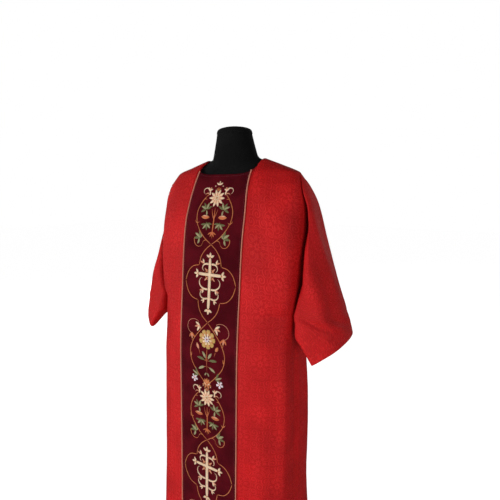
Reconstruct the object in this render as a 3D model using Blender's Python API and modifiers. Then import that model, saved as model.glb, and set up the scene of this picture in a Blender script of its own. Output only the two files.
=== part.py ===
"""A dalmatic standing on a limbless dress form, in metres, +Z up, the front facing -Y.

The garment hangs from the shoulders of the form. Its body is two panels, front and back, joined at the
shoulders and sides; each sleeve is a wide tube that drops from the armhole, with a deep trough between it
and the body. A velvet orphrey lies down the middle of the front between two cords.

Every cloth surface comes from level sections: a table has one row for each height, and the columns are
joined by smooth curves. "across" runs from -1 at one side of the body to 1 at the other.
"""

import math
from typing import NamedTuple

import bmesh
import bpy
import numpy as np
from mathutils import Vector

# Cloth.
WALL = 0.002
SEAM_HALF_GAP = 0.0004
SHOULDER_TOP = 1.420
SHOULDER_REACH = 0.2090
UNDERARM = 1.030
HEM = 0.250

# Neckline: a squared opening, deeper in front.
NECK_HALF_WIDTH = 0.100
FRONT_NECK_DROP = 0.047
BACK_NECK_DROP = 0.016
NECK_SQUARENESS = 4.0
NECK_CORNER = 0.0005

# Orphrey and its cords.
ORPHREY_HALF_WIDTH = 0.0975
ORPHREY_TOP_HALF_WIDTH = 0.088
ORPHREY_TAPER = (1.28, 1.42)
ORPHREY_WALL = 0.0012
ORPHREY_LIFT = 0.0003
CORD_RADIUS = 0.0019
CORD_CLEARANCE = 0.0005

# Grid of the body panels.
ORPHREY_STEPS = 8
SIDE_STEPS = 8
NECK_COLUMNS = (0.055, 0.097)
UPPER_ROWS = 14
LOWER_ROWS = 12
ROW_GATHER = 2.0
BODY_MIDDLE = (0.0, 0.0, 1.0)

# Grid of a sleeve.
SLEEVE_STEPS = 12
SLEEVE_FAN = 0.9

# Dress form. FORM_LIFT is the air between its shoulders and the cloth.
FORM_LIFT = 0.0007
FORM_STEPS = 40
FORM_SHOULDER_END = 0.2005
NECKLINE_CLEARANCE = 0.0055
NECKLINE_SPAN = 0.022
PART_GAP = 0.0003
POLE_RADIUS = 0.014
POLE_STEPS = 24
SOCKET_RADIUS = 0.045
SOCKET_FOOT_RADIUS = 0.024
SOCKET_HEIGHT = 0.030
SOCKET_RIM = 0.006
BASE_RADIUS = 0.190
BASE_THICKNESS = 0.016
BASE_EDGE = 0.004
BASE_FALL = 0.002
BASE_STEPS = 64
BOSS_RADIUS = 0.030
BOSS_TOP = 0.045
BOSS_EDGE = 0.003
BOSS_FILLET = 0.006

# Level sections of the body, from a virtual crown at the neck down to the hem. half: half width. front and
# back: y on the middle line. front_edge and back_edge: y at the shoulder ridge, the armhole or the side seam.
# front_square and back_square: how squarely the section turns towards its edge.
BODY_COLUMNS = (
    "height", "half", "front", "back", "front_edge", "back_edge", "front_square", "back_square",
)
BODY_ROWS = (
    (1.488, 0.0000, -0.010, -0.010, -0.010, -0.010, 2.2, 2.2),
    (1.478, 0.0600, -0.028, 0.012, -0.010, -0.010, 2.2, 2.2),
    (1.462, 0.1000, -0.045, 0.030, -0.012, -0.012, 2.2, 2.2),
    (1.441, 0.1580, -0.064, 0.048, -0.016, -0.016, 2.3, 2.2),
    (1.420, 0.2090, -0.081, 0.062, -0.020, -0.020, 2.4, 2.2),
    (1.400, 0.2185, -0.092, 0.071, -0.032, -0.002, 2.4, 2.2),
    (1.385, 0.2255, -0.099, 0.078, -0.040, 0.010, 2.5, 2.2),
    (1.340, 0.2330, -0.116, 0.092, -0.052, 0.030, 2.6, 2.3),
    (1.250, 0.2355, -0.140, 0.108, -0.060, 0.046, 2.7, 2.3),
    (1.180, 0.2345, -0.149, 0.113, -0.061, 0.047, 2.8, 2.3),
    (1.100, 0.2320, -0.156, 0.116, -0.056, 0.040, 2.9, 2.3),
    (1.060, 0.2300, -0.160, 0.117, -0.044, 0.022, 3.0, 2.3),
    (1.030, 0.2275, -0.164, 0.117, -0.014, -0.014, 3.0, 2.3),
    (0.960, 0.2240, -0.170, 0.117, -0.028, -0.028, 3.0, 2.3),
    (0.880, 0.2290, -0.174, 0.117, -0.030, -0.030, 3.0, 2.3),
    (0.750, 0.2350, -0.177, 0.118, -0.030, -0.030, 2.9, 2.3),
    (0.500, 0.2430, -0.184, 0.126, -0.030, -0.030, 2.9, 2.4),
    (0.250, 0.2580, -0.194, 0.138, -0.030, -0.030, 2.9, 2.5),
)


class Fold(NamedTuple):
    """A soft fold that falls from the body to the hem. across and reach: its place and its half width; depth:
    outward at the hem, inward where it is negative; start: the height where it begins."""

    across: float
    reach: float
    depth: float
    start: float


FRONT_FOLDS = (
    Fold(-0.90, 0.10, -0.010, 0.86),
    Fold(-0.72, 0.11, 0.008, 0.92),
    Fold(-0.52, 0.11, -0.005, 0.74),
    Fold(0.55, 0.12, -0.006, 0.78),
    Fold(0.74, 0.10, 0.009, 0.90),
    Fold(0.91, 0.09, -0.010, 0.82),
)
BACK_FOLDS = (
    Fold(-0.88, 0.12, -0.012, 1.00),
    Fold(-0.62, 0.15, 0.014, 1.12),
    Fold(-0.32, 0.15, -0.010, 0.96),
    Fold(-0.02, 0.16, 0.013, 1.16),
    Fold(0.30, 0.15, -0.011, 1.00),
    Fold(0.60, 0.15, 0.013, 1.08),
    Fold(0.86, 0.12, -0.011, 0.94),
)

# Level sections of the wearer's left sleeve. lead: the rounded edge beside the trough; face: the side turned
# to the front; outer: the fold that runs down from the shoulder; rear and tail: the same behind; inner: the
# layer next to the body. Each is a point in plan. The ends of a section lie on the armhole, and below the
# underarm both lie on the under seam.
SLEEVE_COLUMNS = (
    "height",
    "lead_x", "lead_y", "face_x", "face_y", "outer_x", "outer_y",
    "rear_x", "rear_y", "tail_x", "tail_y", "inner_x", "inner_y",
)
SLEEVE_ROWS = (
    (1.420, 0.209, -0.020, 0.209, -0.020, 0.2095, -0.020, 0.209, -0.020, 0.209, -0.020, 0.209, -0.020),
    (1.400, 0.2215, -0.034, 0.2240, -0.026, 0.2245, -0.017, 0.2238, -0.008, 0.2222, -0.003, 0.2205, -0.002),
    (1.385, 0.2295, -0.050, 0.2330, -0.036, 0.2335, -0.016, 0.2318, 0.001, 0.2298, 0.010, 0.2276, 0.013),
    (1.340, 0.242, -0.069, 0.249, -0.046, 0.2500, -0.008, 0.2455, 0.024, 0.2410, 0.042, 0.2365, 0.043),
    (1.250, 0.253, -0.082, 0.264, -0.054, 0.2690, -0.004, 0.2600, 0.046, 0.2495, 0.082, 0.2410, 0.070),
    (1.180, 0.252, -0.090, 0.278, -0.061, 0.2900, 0.000, 0.2760, 0.064, 0.2570, 0.110, 0.2420, 0.086),
    (1.100, 0.247, -0.095, 0.302, -0.072, 0.3200, 0.004, 0.2990, 0.084, 0.2680, 0.136, 0.2430, 0.092),
    (1.030, 0.239, -0.098, 0.316, -0.076, 0.3400, 0.008, 0.3160, 0.104, 0.2760, 0.162, 0.2430, 0.100),
    (0.985, 0.239, -0.101, 0.324, -0.078, 0.3500, 0.010, 0.3250, 0.116, 0.2820, 0.178, 0.2460, 0.104),
    (0.950, 0.264, -0.102, 0.330, -0.079, 0.3570, 0.012, 0.3320, 0.124, 0.2870, 0.188, 0.2520, 0.104),
    (0.900, 0.296, -0.098, 0.334, -0.078, 0.3650, 0.014, 0.3390, 0.132, 0.2920, 0.196, 0.2620, 0.102),
)

# The under seam, from the underarm down to the lowest corner of the cuff.
UNDER_COLUMNS = ("height", "under_x", "under_y")
UNDER_ROWS = (
    (1.030, 0.2275, -0.014),
    (0.985, 0.2330, -0.082),
    (0.950, 0.2600, -0.092),
    (0.900, 0.2960, -0.095),
)

# The cuff lies in a slanting plane through its lowest corner: rise for each metre outward and backward. The
# layer next to the body is tucked up above that plane.
CUFF_CORNER = (0.291, -0.092, 0.909)
CUFF_RISE_OUT = 0.68
CUFF_RISE_BACK = 0.02
CUFF_TUCK = 0.080
TUCK_STATIONS = (0.20, 0.60, 0.90, 1.00)
CUFF_PASSES = 12

# Level sections of the form: half width, then y in front and behind. The torso ends below the shoulders,
# which follow the garment; the neck grows out of them.
FORM_COLUMNS = ("height", "half", "front", "back")
TORSO_ROWS = (
    (0.770, 0.148, -0.104, 0.084),
    (0.785, 0.158, -0.112, 0.092),
    (0.880, 0.168, -0.118, 0.098),
    (0.960, 0.152, -0.110, 0.082),
    (1.060, 0.136, -0.102, 0.070),
    (1.160, 0.152, -0.110, 0.078),
    (1.250, 0.172, -0.121, 0.086),
    (1.310, 0.186, -0.117, 0.082),
    (1.345, 0.194, -0.109, 0.080),
)
SHOULDER_RINGS = (1.368, 1.385, 1.398, 1.409)
NECK_ROOT_RINGS = (1.417, 1.424, 1.431, 1.438, 1.446, 1.455)
NECK_RINGS = (1.466, 1.485, 1.510, 1.535)
NECK_ROWS = (
    (1.417, 0.082, -0.070, 0.040),
    (1.438, 0.079, -0.070, 0.038),
    (1.462, 0.074, -0.070, 0.036),
    (1.485, 0.068, -0.070, 0.034),
    (1.510, 0.060, -0.070, 0.031),
    (1.535, 0.054, -0.0695, 0.027),
)
FORM_SQUARE = 2.3
FORM_AXIS_Y = -0.012

# The cap on the neck: rise above the neck, then the share of the neck's outline.
CAP_ROWS = ((0.000, 1.02), (0.009, 1.00), (0.015, 0.86), (0.0185, 0.55))


def curve_slopes(places, values):
    """Slopes of a smooth curve through the points that adds no rise or fall of its own."""
    steps = np.diff(values) / np.diff(places)
    slopes = np.zeros(len(values))
    slopes[0], slopes[-1] = steps[0], steps[-1]
    before, after = steps[:-1], steps[1:]
    same_way = before * after > 0
    total = np.where(same_way, before + after, 1.0)
    slopes[1:-1] = np.where(same_way, 2 * before * after / total, 0.0)
    return slopes


def on_curve(places, values, where):
    """The smooth curve through (places, values), read at where. places rise."""
    places = np.asarray(places, float)
    values = np.asarray(values, float)
    slopes = curve_slopes(places, values)
    index = int(np.clip(np.searchsorted(places, where) - 1, 0, len(places) - 2))
    width = places[index + 1] - places[index]
    t = min(max((where - places[index]) / width, 0.0), 1.0)
    return float(
        values[index] * (1 + 2 * t) * (1 - t) ** 2
        + slopes[index] * width * t * (1 - t) ** 2
        + values[index + 1] * t * t * (3 - 2 * t)
        - slopes[index + 1] * width * t * t * (1 - t)
    )


class Sections:
    """A table of level sections: each column is a smooth function of height."""

    def __init__(self, columns, rows):
        ordered = np.array(sorted(rows))
        self.heights = ordered[:, 0]
        self.columns = {name: ordered[:, i] for i, name in enumerate(columns)}

    def at(self, column, height):
        return on_curve(self.heights, self.columns[column], height)


BODY = Sections(BODY_COLUMNS, BODY_ROWS)
SLEEVE = Sections(SLEEVE_COLUMNS, SLEEVE_ROWS)
UNDER_SEAM = Sections(UNDER_COLUMNS, UNDER_ROWS)
TORSO = Sections(FORM_COLUMNS, TORSO_ROWS)
NECK = Sections(FORM_COLUMNS, NECK_ROWS)


def ease(t):
    """0 to 1 with a soft start and a soft end."""
    t = min(max(t, 0.0), 1.0)
    return t * t * (3 - 2 * t)


def ridge_height(reach):
    """Height of the shoulder ridge at a distance from the middle."""
    above = BODY.heights >= SHOULDER_TOP
    halves = BODY.columns["half"][above][::-1]
    heights = BODY.heights[above][::-1]
    return on_curve(halves, heights, reach)


def neck_height(reach, drop):
    """Height of the neckline edge at a distance from the middle."""
    side = min(abs(reach) / NECK_HALF_WIDTH, 1.0) ** NECK_SQUARENESS
    rise = 1 - (1 - side) ** (1 / NECK_SQUARENESS)
    top = ridge_height(NECK_HALF_WIDTH)
    return top - drop * (1 - rise)


def fold_depth(folds, across, height):
    """How far the folds push a panel outward at a point."""
    depth = 0.0
    for fold in folds:
        fall = ease((fold.start - height) / (fold.start - HEM))
        depth += fold.depth * fall * math.exp(-(((across - fold.across) / fold.reach) ** 2))
    return depth


def body_point(x, height, face):
    """The outer skin of the front (face -1) or back (face 1) panel, at x and a height."""
    side = "front" if face < 0 else "back"
    half = max(BODY.at("half", height), 1e-6)
    square = BODY.at(f"{side}_square", height)
    across = max(-1.0, min(1.0, x / half))
    edge = BODY.at(f"{side}_edge", height)
    middle = BODY.at(side, height)
    bulge = (1 - abs(across) ** square) ** (1 / square)
    folds = FRONT_FOLDS if face < 0 else BACK_FOLDS
    fold = fold_depth(folds, across, height) * bulge
    return (x, edge + (middle - edge) * bulge + face * fold, height)


def orphrey_half_width(height):
    low, high = ORPHREY_TAPER
    narrowing = ORPHREY_HALF_WIDTH - ORPHREY_TOP_HALF_WIDTH
    return ORPHREY_HALF_WIDTH - narrowing * ease((height - low) / (high - low))


def column_places():
    """The panel's columns: inside the orphrey they run from -1 to 1, and beyond it a fraction is added."""
    inner = [2 * i / ORPHREY_STEPS - 1 for i in range(ORPHREY_STEPS + 1)]
    beside_neck = NECK_COLUMNS[-1]
    turns = [math.sin(math.pi / 2 * (i + 1) / SIDE_STEPS) for i in range(SIDE_STEPS)]
    outer = [1 + step for step in NECK_COLUMNS]
    outer += [1 + beside_neck + (1 - beside_neck) * turn for turn in turns]
    return [-place for place in reversed(outer)] + inner + outer


def column_x(place, height):
    """x of a column at a height. Above the shoulder point the columns run straight up."""
    level = min(height, SHOULDER_TOP)
    inner = orphrey_half_width(level)
    if abs(place) <= 1:
        return place * inner
    outer = BODY.at("half", level)
    return math.copysign(inner + (abs(place) - 1) * (outer - inner), place)


def column_top(place, drop):
    """Height of a column's upper end, on the neckline or on the shoulder ridge."""
    x = abs(column_x(place, SHOULDER_TOP))
    if x < NECK_HALF_WIDTH - NECK_CORNER:
        return neck_height(x, drop)
    return ridge_height(min(x, SHOULDER_REACH))


def row_heights(top):
    """Heights of a column's points: close together at the shoulder, even below the underarm."""
    upper = [top - (top - UNDERARM) * (i / UPPER_ROWS) ** ROW_GATHER for i in range(UPPER_ROWS + 1)]
    lower = [UNDERARM - (UNDERARM - HEM) * (i + 1) / LOWER_ROWS for i in range(LOWER_ROWS)]
    return upper + lower


def panel_rows(face, places):
    """Rows of points of a body panel, from the top edge down."""
    drop = FRONT_NECK_DROP if face < 0 else BACK_NECK_DROP
    columns = []
    for place in places:
        heights = row_heights(column_top(place, drop))
        columns.append([body_point(column_x(place, z), z, face) for z in heights])
    return np.array(columns).transpose(1, 0, 2)


def grid_normals(points, inside):
    """Unit normals of a grid of points, on the side that faces away from a point inside."""
    across = np.gradient(points, axis=1)
    down = np.gradient(points, axis=0)
    normals = np.cross(across, down)
    normals /= np.linalg.norm(normals, axis=2, keepdims=True) + 1e-12
    facing = np.sum(normals * (points - np.array(inside)), axis=2).mean()
    return normals if facing > 0 else -normals


def ease_borders(points, face):
    """Draws a panel's shoulder, armhole and side edges back from their seams."""
    points = points.copy()
    points[:, 0, 0] += SEAM_HALF_GAP
    points[:, -1, 0] -= SEAM_HALF_GAP
    on_ridge = np.abs(points[0, :, 0]) > NECK_HALF_WIDTH - NECK_CORNER - SEAM_HALF_GAP
    points[0, on_ridge, 1] += face * SEAM_HALF_GAP
    below = points[:, 0, 2] <= UNDERARM + 1e-6
    points[below, 0, 1] += face * SEAM_HALF_GAP
    points[below, -1, 1] += face * SEAM_HALF_GAP
    return points


def sleeve_section(height):
    """(x, y) stations of the left sleeve's section at a height."""
    if height > UNDERARM:
        half = BODY.at("half", height)
        first = (half, BODY.at("front_edge", height))
        last = (half, BODY.at("back_edge", height))
    else:
        first = last = (UNDER_SEAM.at("under_x", height), UNDER_SEAM.at("under_y", height))
    names = ("lead", "face", "outer", "rear", "tail", "inner")
    middle = [(SLEEVE.at(f"{n}_x", height), SLEEVE.at(f"{n}_y", height)) for n in names]
    return np.array([first, *middle, last])


def round_curve(places, values, where):
    """A rounder curve through the points than on_curve: its slopes follow the neighbours."""
    slopes = np.gradient(values, places)
    index = int(np.clip(np.searchsorted(places, where) - 1, 0, len(places) - 2))
    width = places[index + 1] - places[index]
    t = (where - places[index]) / width
    return float(
        values[index] * (1 + 2 * t) * (1 - t) ** 2
        + slopes[index] * width * t * (1 - t) ** 2
        + values[index + 1] * t * t * (3 - 2 * t)
        - slopes[index + 1] * width * t * t * (1 - t)
    )


def sleeve_point(height, around):
    """The outer skin of the left sleeve at a height, around from -1 at the front end to 1 at the back."""
    if height > SHOULDER_TOP - 1e-6:
        return (SHOULDER_REACH, BODY.at("front_edge", SHOULDER_TOP), SHOULDER_TOP)
    section = sleeve_section(height)
    walked = np.concatenate(([0.0], np.cumsum(np.linalg.norm(np.diff(section, axis=0), axis=1))))
    stations = 2 * walked / walked[-1] - 1
    x = round_curve(stations, section[:, 0], around)
    y = round_curve(stations, section[:, 1], around)
    return (x, y, height)


def cuff_height(around):
    """Height of the cuff edge at a station, where the section meets the slanting plane."""
    corner_x, corner_y, corner_z = CUFF_CORNER
    rise, high, fall, end = TUCK_STATIONS
    tuck = CUFF_TUCK * ease((around - rise) / (high - rise)) * ease((end - around) / (end - fall))
    height = corner_z
    for _ in range(CUFF_PASSES):
        x, y, _height = sleeve_point(height, around)
        plane = corner_z + CUFF_RISE_OUT * (x - corner_x) + CUFF_RISE_BACK * (y - corner_y)
        height = plane + tuck
    return height


def armhole_heights():
    """Heights of the armhole's points, the same as the panels' edges have."""
    return row_heights(SHOULDER_TOP)[: UPPER_ROWS + 1]


def sleeve_rings():
    """Rings of the left sleeve from the armhole to the cuff. Each starts on the under seam."""
    starts = armhole_heights()
    count = len(starts) - 1
    lines = [(i, -1) for i in range(count, -1, -1)] + [(i, 1) for i in range(1, count)]
    rings = []
    for step in range(SLEEVE_STEPS + 1):
        down = step / SLEEVE_STEPS
        ring = []
        for index, end in lines:
            share = index / count
            fan = down * (1 + SLEEVE_FAN * share) / (down + SLEEVE_FAN * share + 1e-9)
            height = starts[index] + (cuff_height(end * share) - starts[index]) * down
            ring.append(sleeve_point(height, end * (1 - (1 - share) * fan)))
        rings.append(ring)
    points = np.array(rings)
    points[0, :, 0] += SEAM_HALF_GAP
    return points


def material(name, colour, roughness, metallic=0.0):
    finish = bpy.data.materials.new(name)
    finish.use_nodes = True
    shader = finish.node_tree.nodes["Principled BSDF"]
    shader.inputs["Base Color"].default_value = (*colour, 1.0)
    shader.inputs["Roughness"].default_value = roughness
    shader.inputs["Metallic"].default_value = metallic
    return finish


def add_mesh(name, shape, finish, collection):
    """Makes an object from a bmesh, its normals pointing out."""
    mesh = bpy.data.meshes.new(name)
    shape.to_mesh(mesh)
    shape.free()
    mesh.shade_smooth()
    mesh.materials.append(finish)
    thing = bpy.data.objects.new(name, mesh)
    collection.objects.link(thing)
    return thing


def grid_shape(points, closed=False):
    """A bmesh surface through rows of points, facing out; closed joins each row's last point to its first."""
    shape = bmesh.new()
    rows = [[shape.verts.new(point) for point in row] for row in points]
    count = len(rows[0])
    for upper, lower in zip(rows, rows[1:]):
        for i in range(count if closed else count - 1):
            j = (i + 1) % count
            shape.faces.new((upper[i], lower[i], lower[j], upper[j]))
    shape.normal_update()
    middle = sum((face.calc_center_median() for face in shape.faces), Vector()) / len(shape.faces)
    facing = sum(face.normal.dot(face.calc_center_median() - middle) for face in shape.faces)
    if facing < 0:
        bmesh.ops.reverse_faces(shape, faces=shape.faces)
    return shape


def cloth(name, points, finish, collection, wall=WALL, closed=False):
    """A sheet of cloth: an open surface, thickened inward from its outer skin."""
    sheet = add_mesh(name, grid_shape(points, closed), finish, collection)
    thickness = sheet.modifiers.new("wall", "SOLIDIFY")
    thickness.thickness = wall
    thickness.offset = -1
    return sheet


def cord(name, points, finish, collection):
    """A cord of round section along a row of points."""
    curve = bpy.data.curves.new(name, "CURVE")
    curve.dimensions = "3D"
    curve.bevel_depth = CORD_RADIUS
    curve.bevel_resolution = 1
    curve.use_fill_caps = True
    spline = curve.splines.new("POLY")
    spline.points.add(len(points) - 1)
    for target, point in zip(spline.points, points):
        target.co = (*point, 1.0)
    curve.materials.append(finish)
    thing = bpy.data.objects.new(name, curve)
    collection.objects.link(thing)
    return thing


def turned(name, profile, finish, collection, steps=FORM_STEPS):
    """A turned shape from (radius, height) points, given from the top down on the outside."""
    shape = bmesh.new()
    line = [shape.verts.new((radius, 0.0, height)) for radius, height in profile]
    for first, second in zip(line, line[1:]):
        shape.edges.new((first, second))
    thing = add_mesh(name, shape, finish, collection)
    screw = thing.modifiers.new("turn", "SCREW")
    screw.steps = screw.render_steps = steps
    screw.use_merge_vertices = True
    screw.merge_threshold = 0.0001
    return thing


def outline_ring(outline, height):
    """A level ring of FORM_STEPS points, evenly turned about the form's axis, on a closed outline in plan."""
    outline = np.asarray(outline, float) - (0.0, FORM_AXIS_Y)
    angles = np.arctan2(outline[:, 1], outline[:, 0])
    order = np.argsort(angles)
    radii = np.linalg.norm(outline, axis=1)[order]
    turns = 2 * np.pi * np.arange(FORM_STEPS) / FORM_STEPS - np.pi
    reach = np.interp(turns, angles[order], radii, period=2 * np.pi)
    level = np.full(FORM_STEPS, height)
    return np.column_stack((reach * np.cos(turns), reach * np.sin(turns) + FORM_AXIS_Y, level))


def oval(half, front, back, square=2.0):
    """A closed oval in plan, squarer where square is over 2."""
    turns = np.linspace(-np.pi, np.pi, 241)[:-1]
    c, s = np.cos(turns), np.sin(turns)
    x = half * np.sign(c) * np.abs(c) ** (2 / square)
    y = (back - front) / 2 * np.sign(s) * np.abs(s) ** (2 / square) + (back + front) / 2
    return np.column_stack((x, y))


def under_cloth(height):
    """The outline of the form just under the cloth of the shoulders."""
    outline = []
    for face, way in ((-1, 1), (1, -1)):
        for turn in np.linspace(-np.pi / 2, np.pi / 2, 121):
            level = height + WALL + FORM_LIFT
            half = min(BODY.at("half", level), FORM_SHOULDER_END)
            x = way * half * math.sin(turn)
            near_neckline = math.exp(-(((abs(x) - NECK_HALF_WIDTH) / NECKLINE_SPAN) ** 2))
            inset = WALL + FORM_LIFT + NECKLINE_CLEARANCE * near_neckline
            level = min(height + inset, BODY.heights[-1])
            y = body_point(x, level, face)[1]
            deep = min(1.0, abs(y - FORM_AXIS_Y) / (4 * inset))
            outline.append((x, y - face * inset * deep))
    return outline


def torso_rings():
    """Level rings of the torso from the hips to the top of the neck."""
    rings = []
    for height in TORSO.heights:
        half, front, back = (TORSO.at(name, height) for name in ("half", "front", "back"))
        rings.append(outline_ring(oval(half, front, back, FORM_SQUARE), height))
    for height in SHOULDER_RINGS + NECK_ROOT_RINGS + NECK_RINGS:
        shoulder = neck = None
        if height not in NECK_RINGS:
            shoulder = outline_ring(under_cloth(height), height)
        if height not in SHOULDER_RINGS:
            half, front, back = (NECK.at(name, height) for name in ("half", "front", "back"))
            neck = outline_ring(oval(half, front, back), height)
        if shoulder is None or neck is None:
            rings.append(neck if shoulder is None else shoulder)
            continue
        axis = np.array((0.0, FORM_AXIS_Y))
        longer = np.linalg.norm(shoulder[:, :2] - axis, axis=1) > np.linalg.norm(neck[:, :2] - axis, axis=1)
        rings.append(np.where(longer[:, None], shoulder, neck))
    return rings


def ring_solid(name, rings, finish, collection):
    """A closed solid through level rings, given from the bottom up, flat at both ends."""
    shape = grid_shape(rings, closed=True)
    shape.verts.ensure_lookup_table()
    count = len(rings[0])
    shape.faces.new(shape.verts[:count])
    shape.faces.new(shape.verts[-count:])
    bmesh.ops.recalc_face_normals(shape, faces=shape.faces)
    return add_mesh(name, shape, finish, collection)


def build_form(collection):
    cover = material("black_cover", (0.012, 0.012, 0.014), 0.75)
    metal = material("black_metal", (0.03, 0.03, 0.035), 0.4, 1.0)
    rings = torso_rings()
    ring_solid("form_torso", rings, cover, collection)

    half, front, back = NECK_ROWS[-1][1:]
    middle = (front + back) / 2
    neck_top = NECK_ROWS[-1][0] + PART_GAP
    cap = []
    for rise, scale in CAP_ROWS:
        outline = oval(half * scale, middle + (front - middle) * scale, middle + (back - middle) * scale)
        cap.append(outline_ring(outline, neck_top + rise))
    ring_solid("form_neck_cap", cap, cover, collection)

    torso_foot = TORSO_ROWS[0][0] - PART_GAP
    socket_foot = torso_foot - SOCKET_HEIGHT
    pole_top = socket_foot - PART_GAP
    pole_foot = BOSS_TOP + PART_GAP
    turned("form_socket", (
        (0.0, torso_foot),
        (SOCKET_RADIUS, torso_foot),
        (SOCKET_RADIUS, torso_foot - SOCKET_RIM),
        (SOCKET_FOOT_RADIUS, socket_foot),
        (0.0, socket_foot),
    ), metal, collection)
    turned("form_pole", (
        (0.0, pole_top),
        (POLE_RADIUS, pole_top),
        (POLE_RADIUS, pole_foot),
        (0.0, pole_foot),
    ), metal, collection, steps=POLE_STEPS)
    rim_top = BASE_THICKNESS - BASE_FALL
    turned("form_base", (
        (0.0, BOSS_TOP),
        (BOSS_RADIUS - BOSS_EDGE, BOSS_TOP),
        (BOSS_RADIUS, BOSS_TOP - BOSS_EDGE),
        (BOSS_RADIUS, BASE_THICKNESS + BOSS_FILLET),
        (BOSS_RADIUS + BOSS_FILLET, BASE_THICKNESS),
        (BASE_RADIUS - 2 * BASE_EDGE, rim_top),
        (BASE_RADIUS, rim_top - BASE_EDGE),
        (BASE_RADIUS, BASE_EDGE),
        (BASE_RADIUS - BASE_EDGE, 0.0),
        (0.0, 0.0),
    ), metal, collection, steps=BASE_STEPS)


def build_garment(collection):
    red = material("red_damask", (0.62, 0.02, 0.03), 0.6)
    velvet = material("burgundy_velvet", (0.08, 0.004, 0.012), 0.8)
    gold = material("gold_cord", (0.75, 0.42, 0.2), 0.45)
    places = column_places()
    for face, name in ((-1, "front_panel"), (1, "back_panel")):
        cloth(name, ease_borders(panel_rows(face, places), face), red, collection)
    rings = sleeve_rings()
    cloth("sleeve_left", rings, red, collection, closed=True)
    cloth("sleeve_right", rings * np.array([-1.0, 1.0, 1.0]), red, collection, closed=True)

    inner = [place for place in places if abs(place) <= 1]
    band = panel_rows(-1, inner)
    normals = grid_normals(band, BODY_MIDDLE)
    cloth("orphrey", band + normals * (ORPHREY_LIFT + ORPHREY_WALL), velvet, collection, ORPHREY_WALL)
    lift = CORD_RADIUS + CORD_CLEARANCE
    for column, side, name in ((0, -1, "cord_right"), (-1, 1, "cord_left")):
        line = band[:, column] + normals[:, column] * lift
        line[:, 0] += side * lift
        cord(name, line, gold, collection)


def main():
    for thing in list(bpy.data.objects):
        bpy.data.objects.remove(thing, do_unlink=True)
    collection = bpy.data.collections.new("dalmatic_on_dress_form")
    bpy.context.scene.collection.children.link(collection)
    build_garment(collection)
    build_form(collection)


main()
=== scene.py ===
"""Dresses a dalmatic that stands on a limbless dress form.

The cloth follows the same level sections as the solids, on finer grids, with rounded seam edges, turned hems
and soft creases. The orphrey carries an embroidered vine that is laid out flat and then wrapped onto the
front, and it lies between two laid cords. Lengths are in metres, +Z is up, and the garment's front faces -Y.
"""

from __future__ import annotations

import logging
import math
from collections.abc import Callable, Sequence
from dataclasses import dataclass, field
from enum import Enum

import bmesh
import bpy
import numpy as np
from bpy.types import Material, Node, NodeSocket, NodeTree, Object
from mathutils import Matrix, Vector

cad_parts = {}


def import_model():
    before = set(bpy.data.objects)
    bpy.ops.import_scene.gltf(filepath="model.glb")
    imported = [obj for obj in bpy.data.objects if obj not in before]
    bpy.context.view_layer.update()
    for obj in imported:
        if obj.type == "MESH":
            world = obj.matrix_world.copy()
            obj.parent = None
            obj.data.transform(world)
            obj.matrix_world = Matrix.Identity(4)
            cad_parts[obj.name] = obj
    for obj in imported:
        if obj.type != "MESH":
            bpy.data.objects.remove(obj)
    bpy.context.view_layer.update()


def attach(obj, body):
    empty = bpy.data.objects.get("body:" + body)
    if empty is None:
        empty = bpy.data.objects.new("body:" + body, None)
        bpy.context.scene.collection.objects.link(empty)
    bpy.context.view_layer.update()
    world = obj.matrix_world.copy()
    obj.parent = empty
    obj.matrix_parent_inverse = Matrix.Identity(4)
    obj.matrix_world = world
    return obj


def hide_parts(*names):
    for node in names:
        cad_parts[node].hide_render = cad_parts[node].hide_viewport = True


log = logging.getLogger("dalmatic")

ROOT = "root"
TURN = 2 * math.pi
PER_METRE = 1000.0
TOUCH = 1e-6
TINY = 1e-12

Array = np.ndarray
Colour = tuple[float, float, float]
Point2 = tuple[float, float]
Point3 = tuple[float, float, float]
Line = tuple[Array, Array]  # points along a line, and the cloth's normals there
Stroke = tuple[Array, Array, float]  # a stitched line, its widths, and its height above the velvet

# Cloth and seams.
WALL = 0.002
EDGE_ROUND = 0.0008
SEAM_HALF_GAP = 0.00001
SHOULDER_TOP = 1.420
SHOULDER_REACH = 0.2090
UNDERARM = 1.030
HEM = 0.250
BODY_MIDDLE = np.array((0.0, 0.0, 1.0))

# Neckline.
NECK_HALF_WIDTH = 0.100
NECK_CORNER = 0.0997
FRONT_NECK_DROP = 0.047
BACK_NECK_DROP = 0.016
NECK_SQUARENESS = 4.0
NECK_STITCH = 0.006

# Orphrey and cords.
ORPHREY_HALF_WIDTH = 0.0975
ORPHREY_TOP_HALF_WIDTH = 0.088
ORPHREY_TAPER = (1.28, 1.42)
ORPHREY_WALL = 0.0012
ORPHREY_LIFT = 0.0003
ORPHREY_SKIN = ORPHREY_LIFT + ORPHREY_WALL
ORPHREY_EDGE_ROUND = 0.0004
CORD_RADIUS = 0.0019
CORD_CLEARANCE = 0.0005


# ---- Level sections ----


def smooth_through(places: Array, values: Array, where: Array) -> Array:
    """Reads a smooth curve through points that adds no rise or fall of its own.

    Args:
        places: rising places of the points.
        values: their values.
        where: places to read the curve at.

    Returns:
        The curve's values.
    """
    steps = np.diff(values) / np.diff(places)
    before, after = steps[:-1], steps[1:]
    same_way = before * after > 0
    slopes = np.concatenate((steps[:1], np.zeros(len(before)), steps[-1:]))
    slopes[1:-1] = np.where(same_way, 2 * before * after / np.where(same_way, before + after, 1.0), 0.0)
    index = np.clip(np.searchsorted(places, where) - 1, 0, len(places) - 2)
    width = places[index + 1] - places[index]
    t = np.clip((where - places[index]) / width, 0.0, 1.0)
    return hermite(t, width, values[index], values[index + 1], slopes[index], slopes[index + 1])


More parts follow.
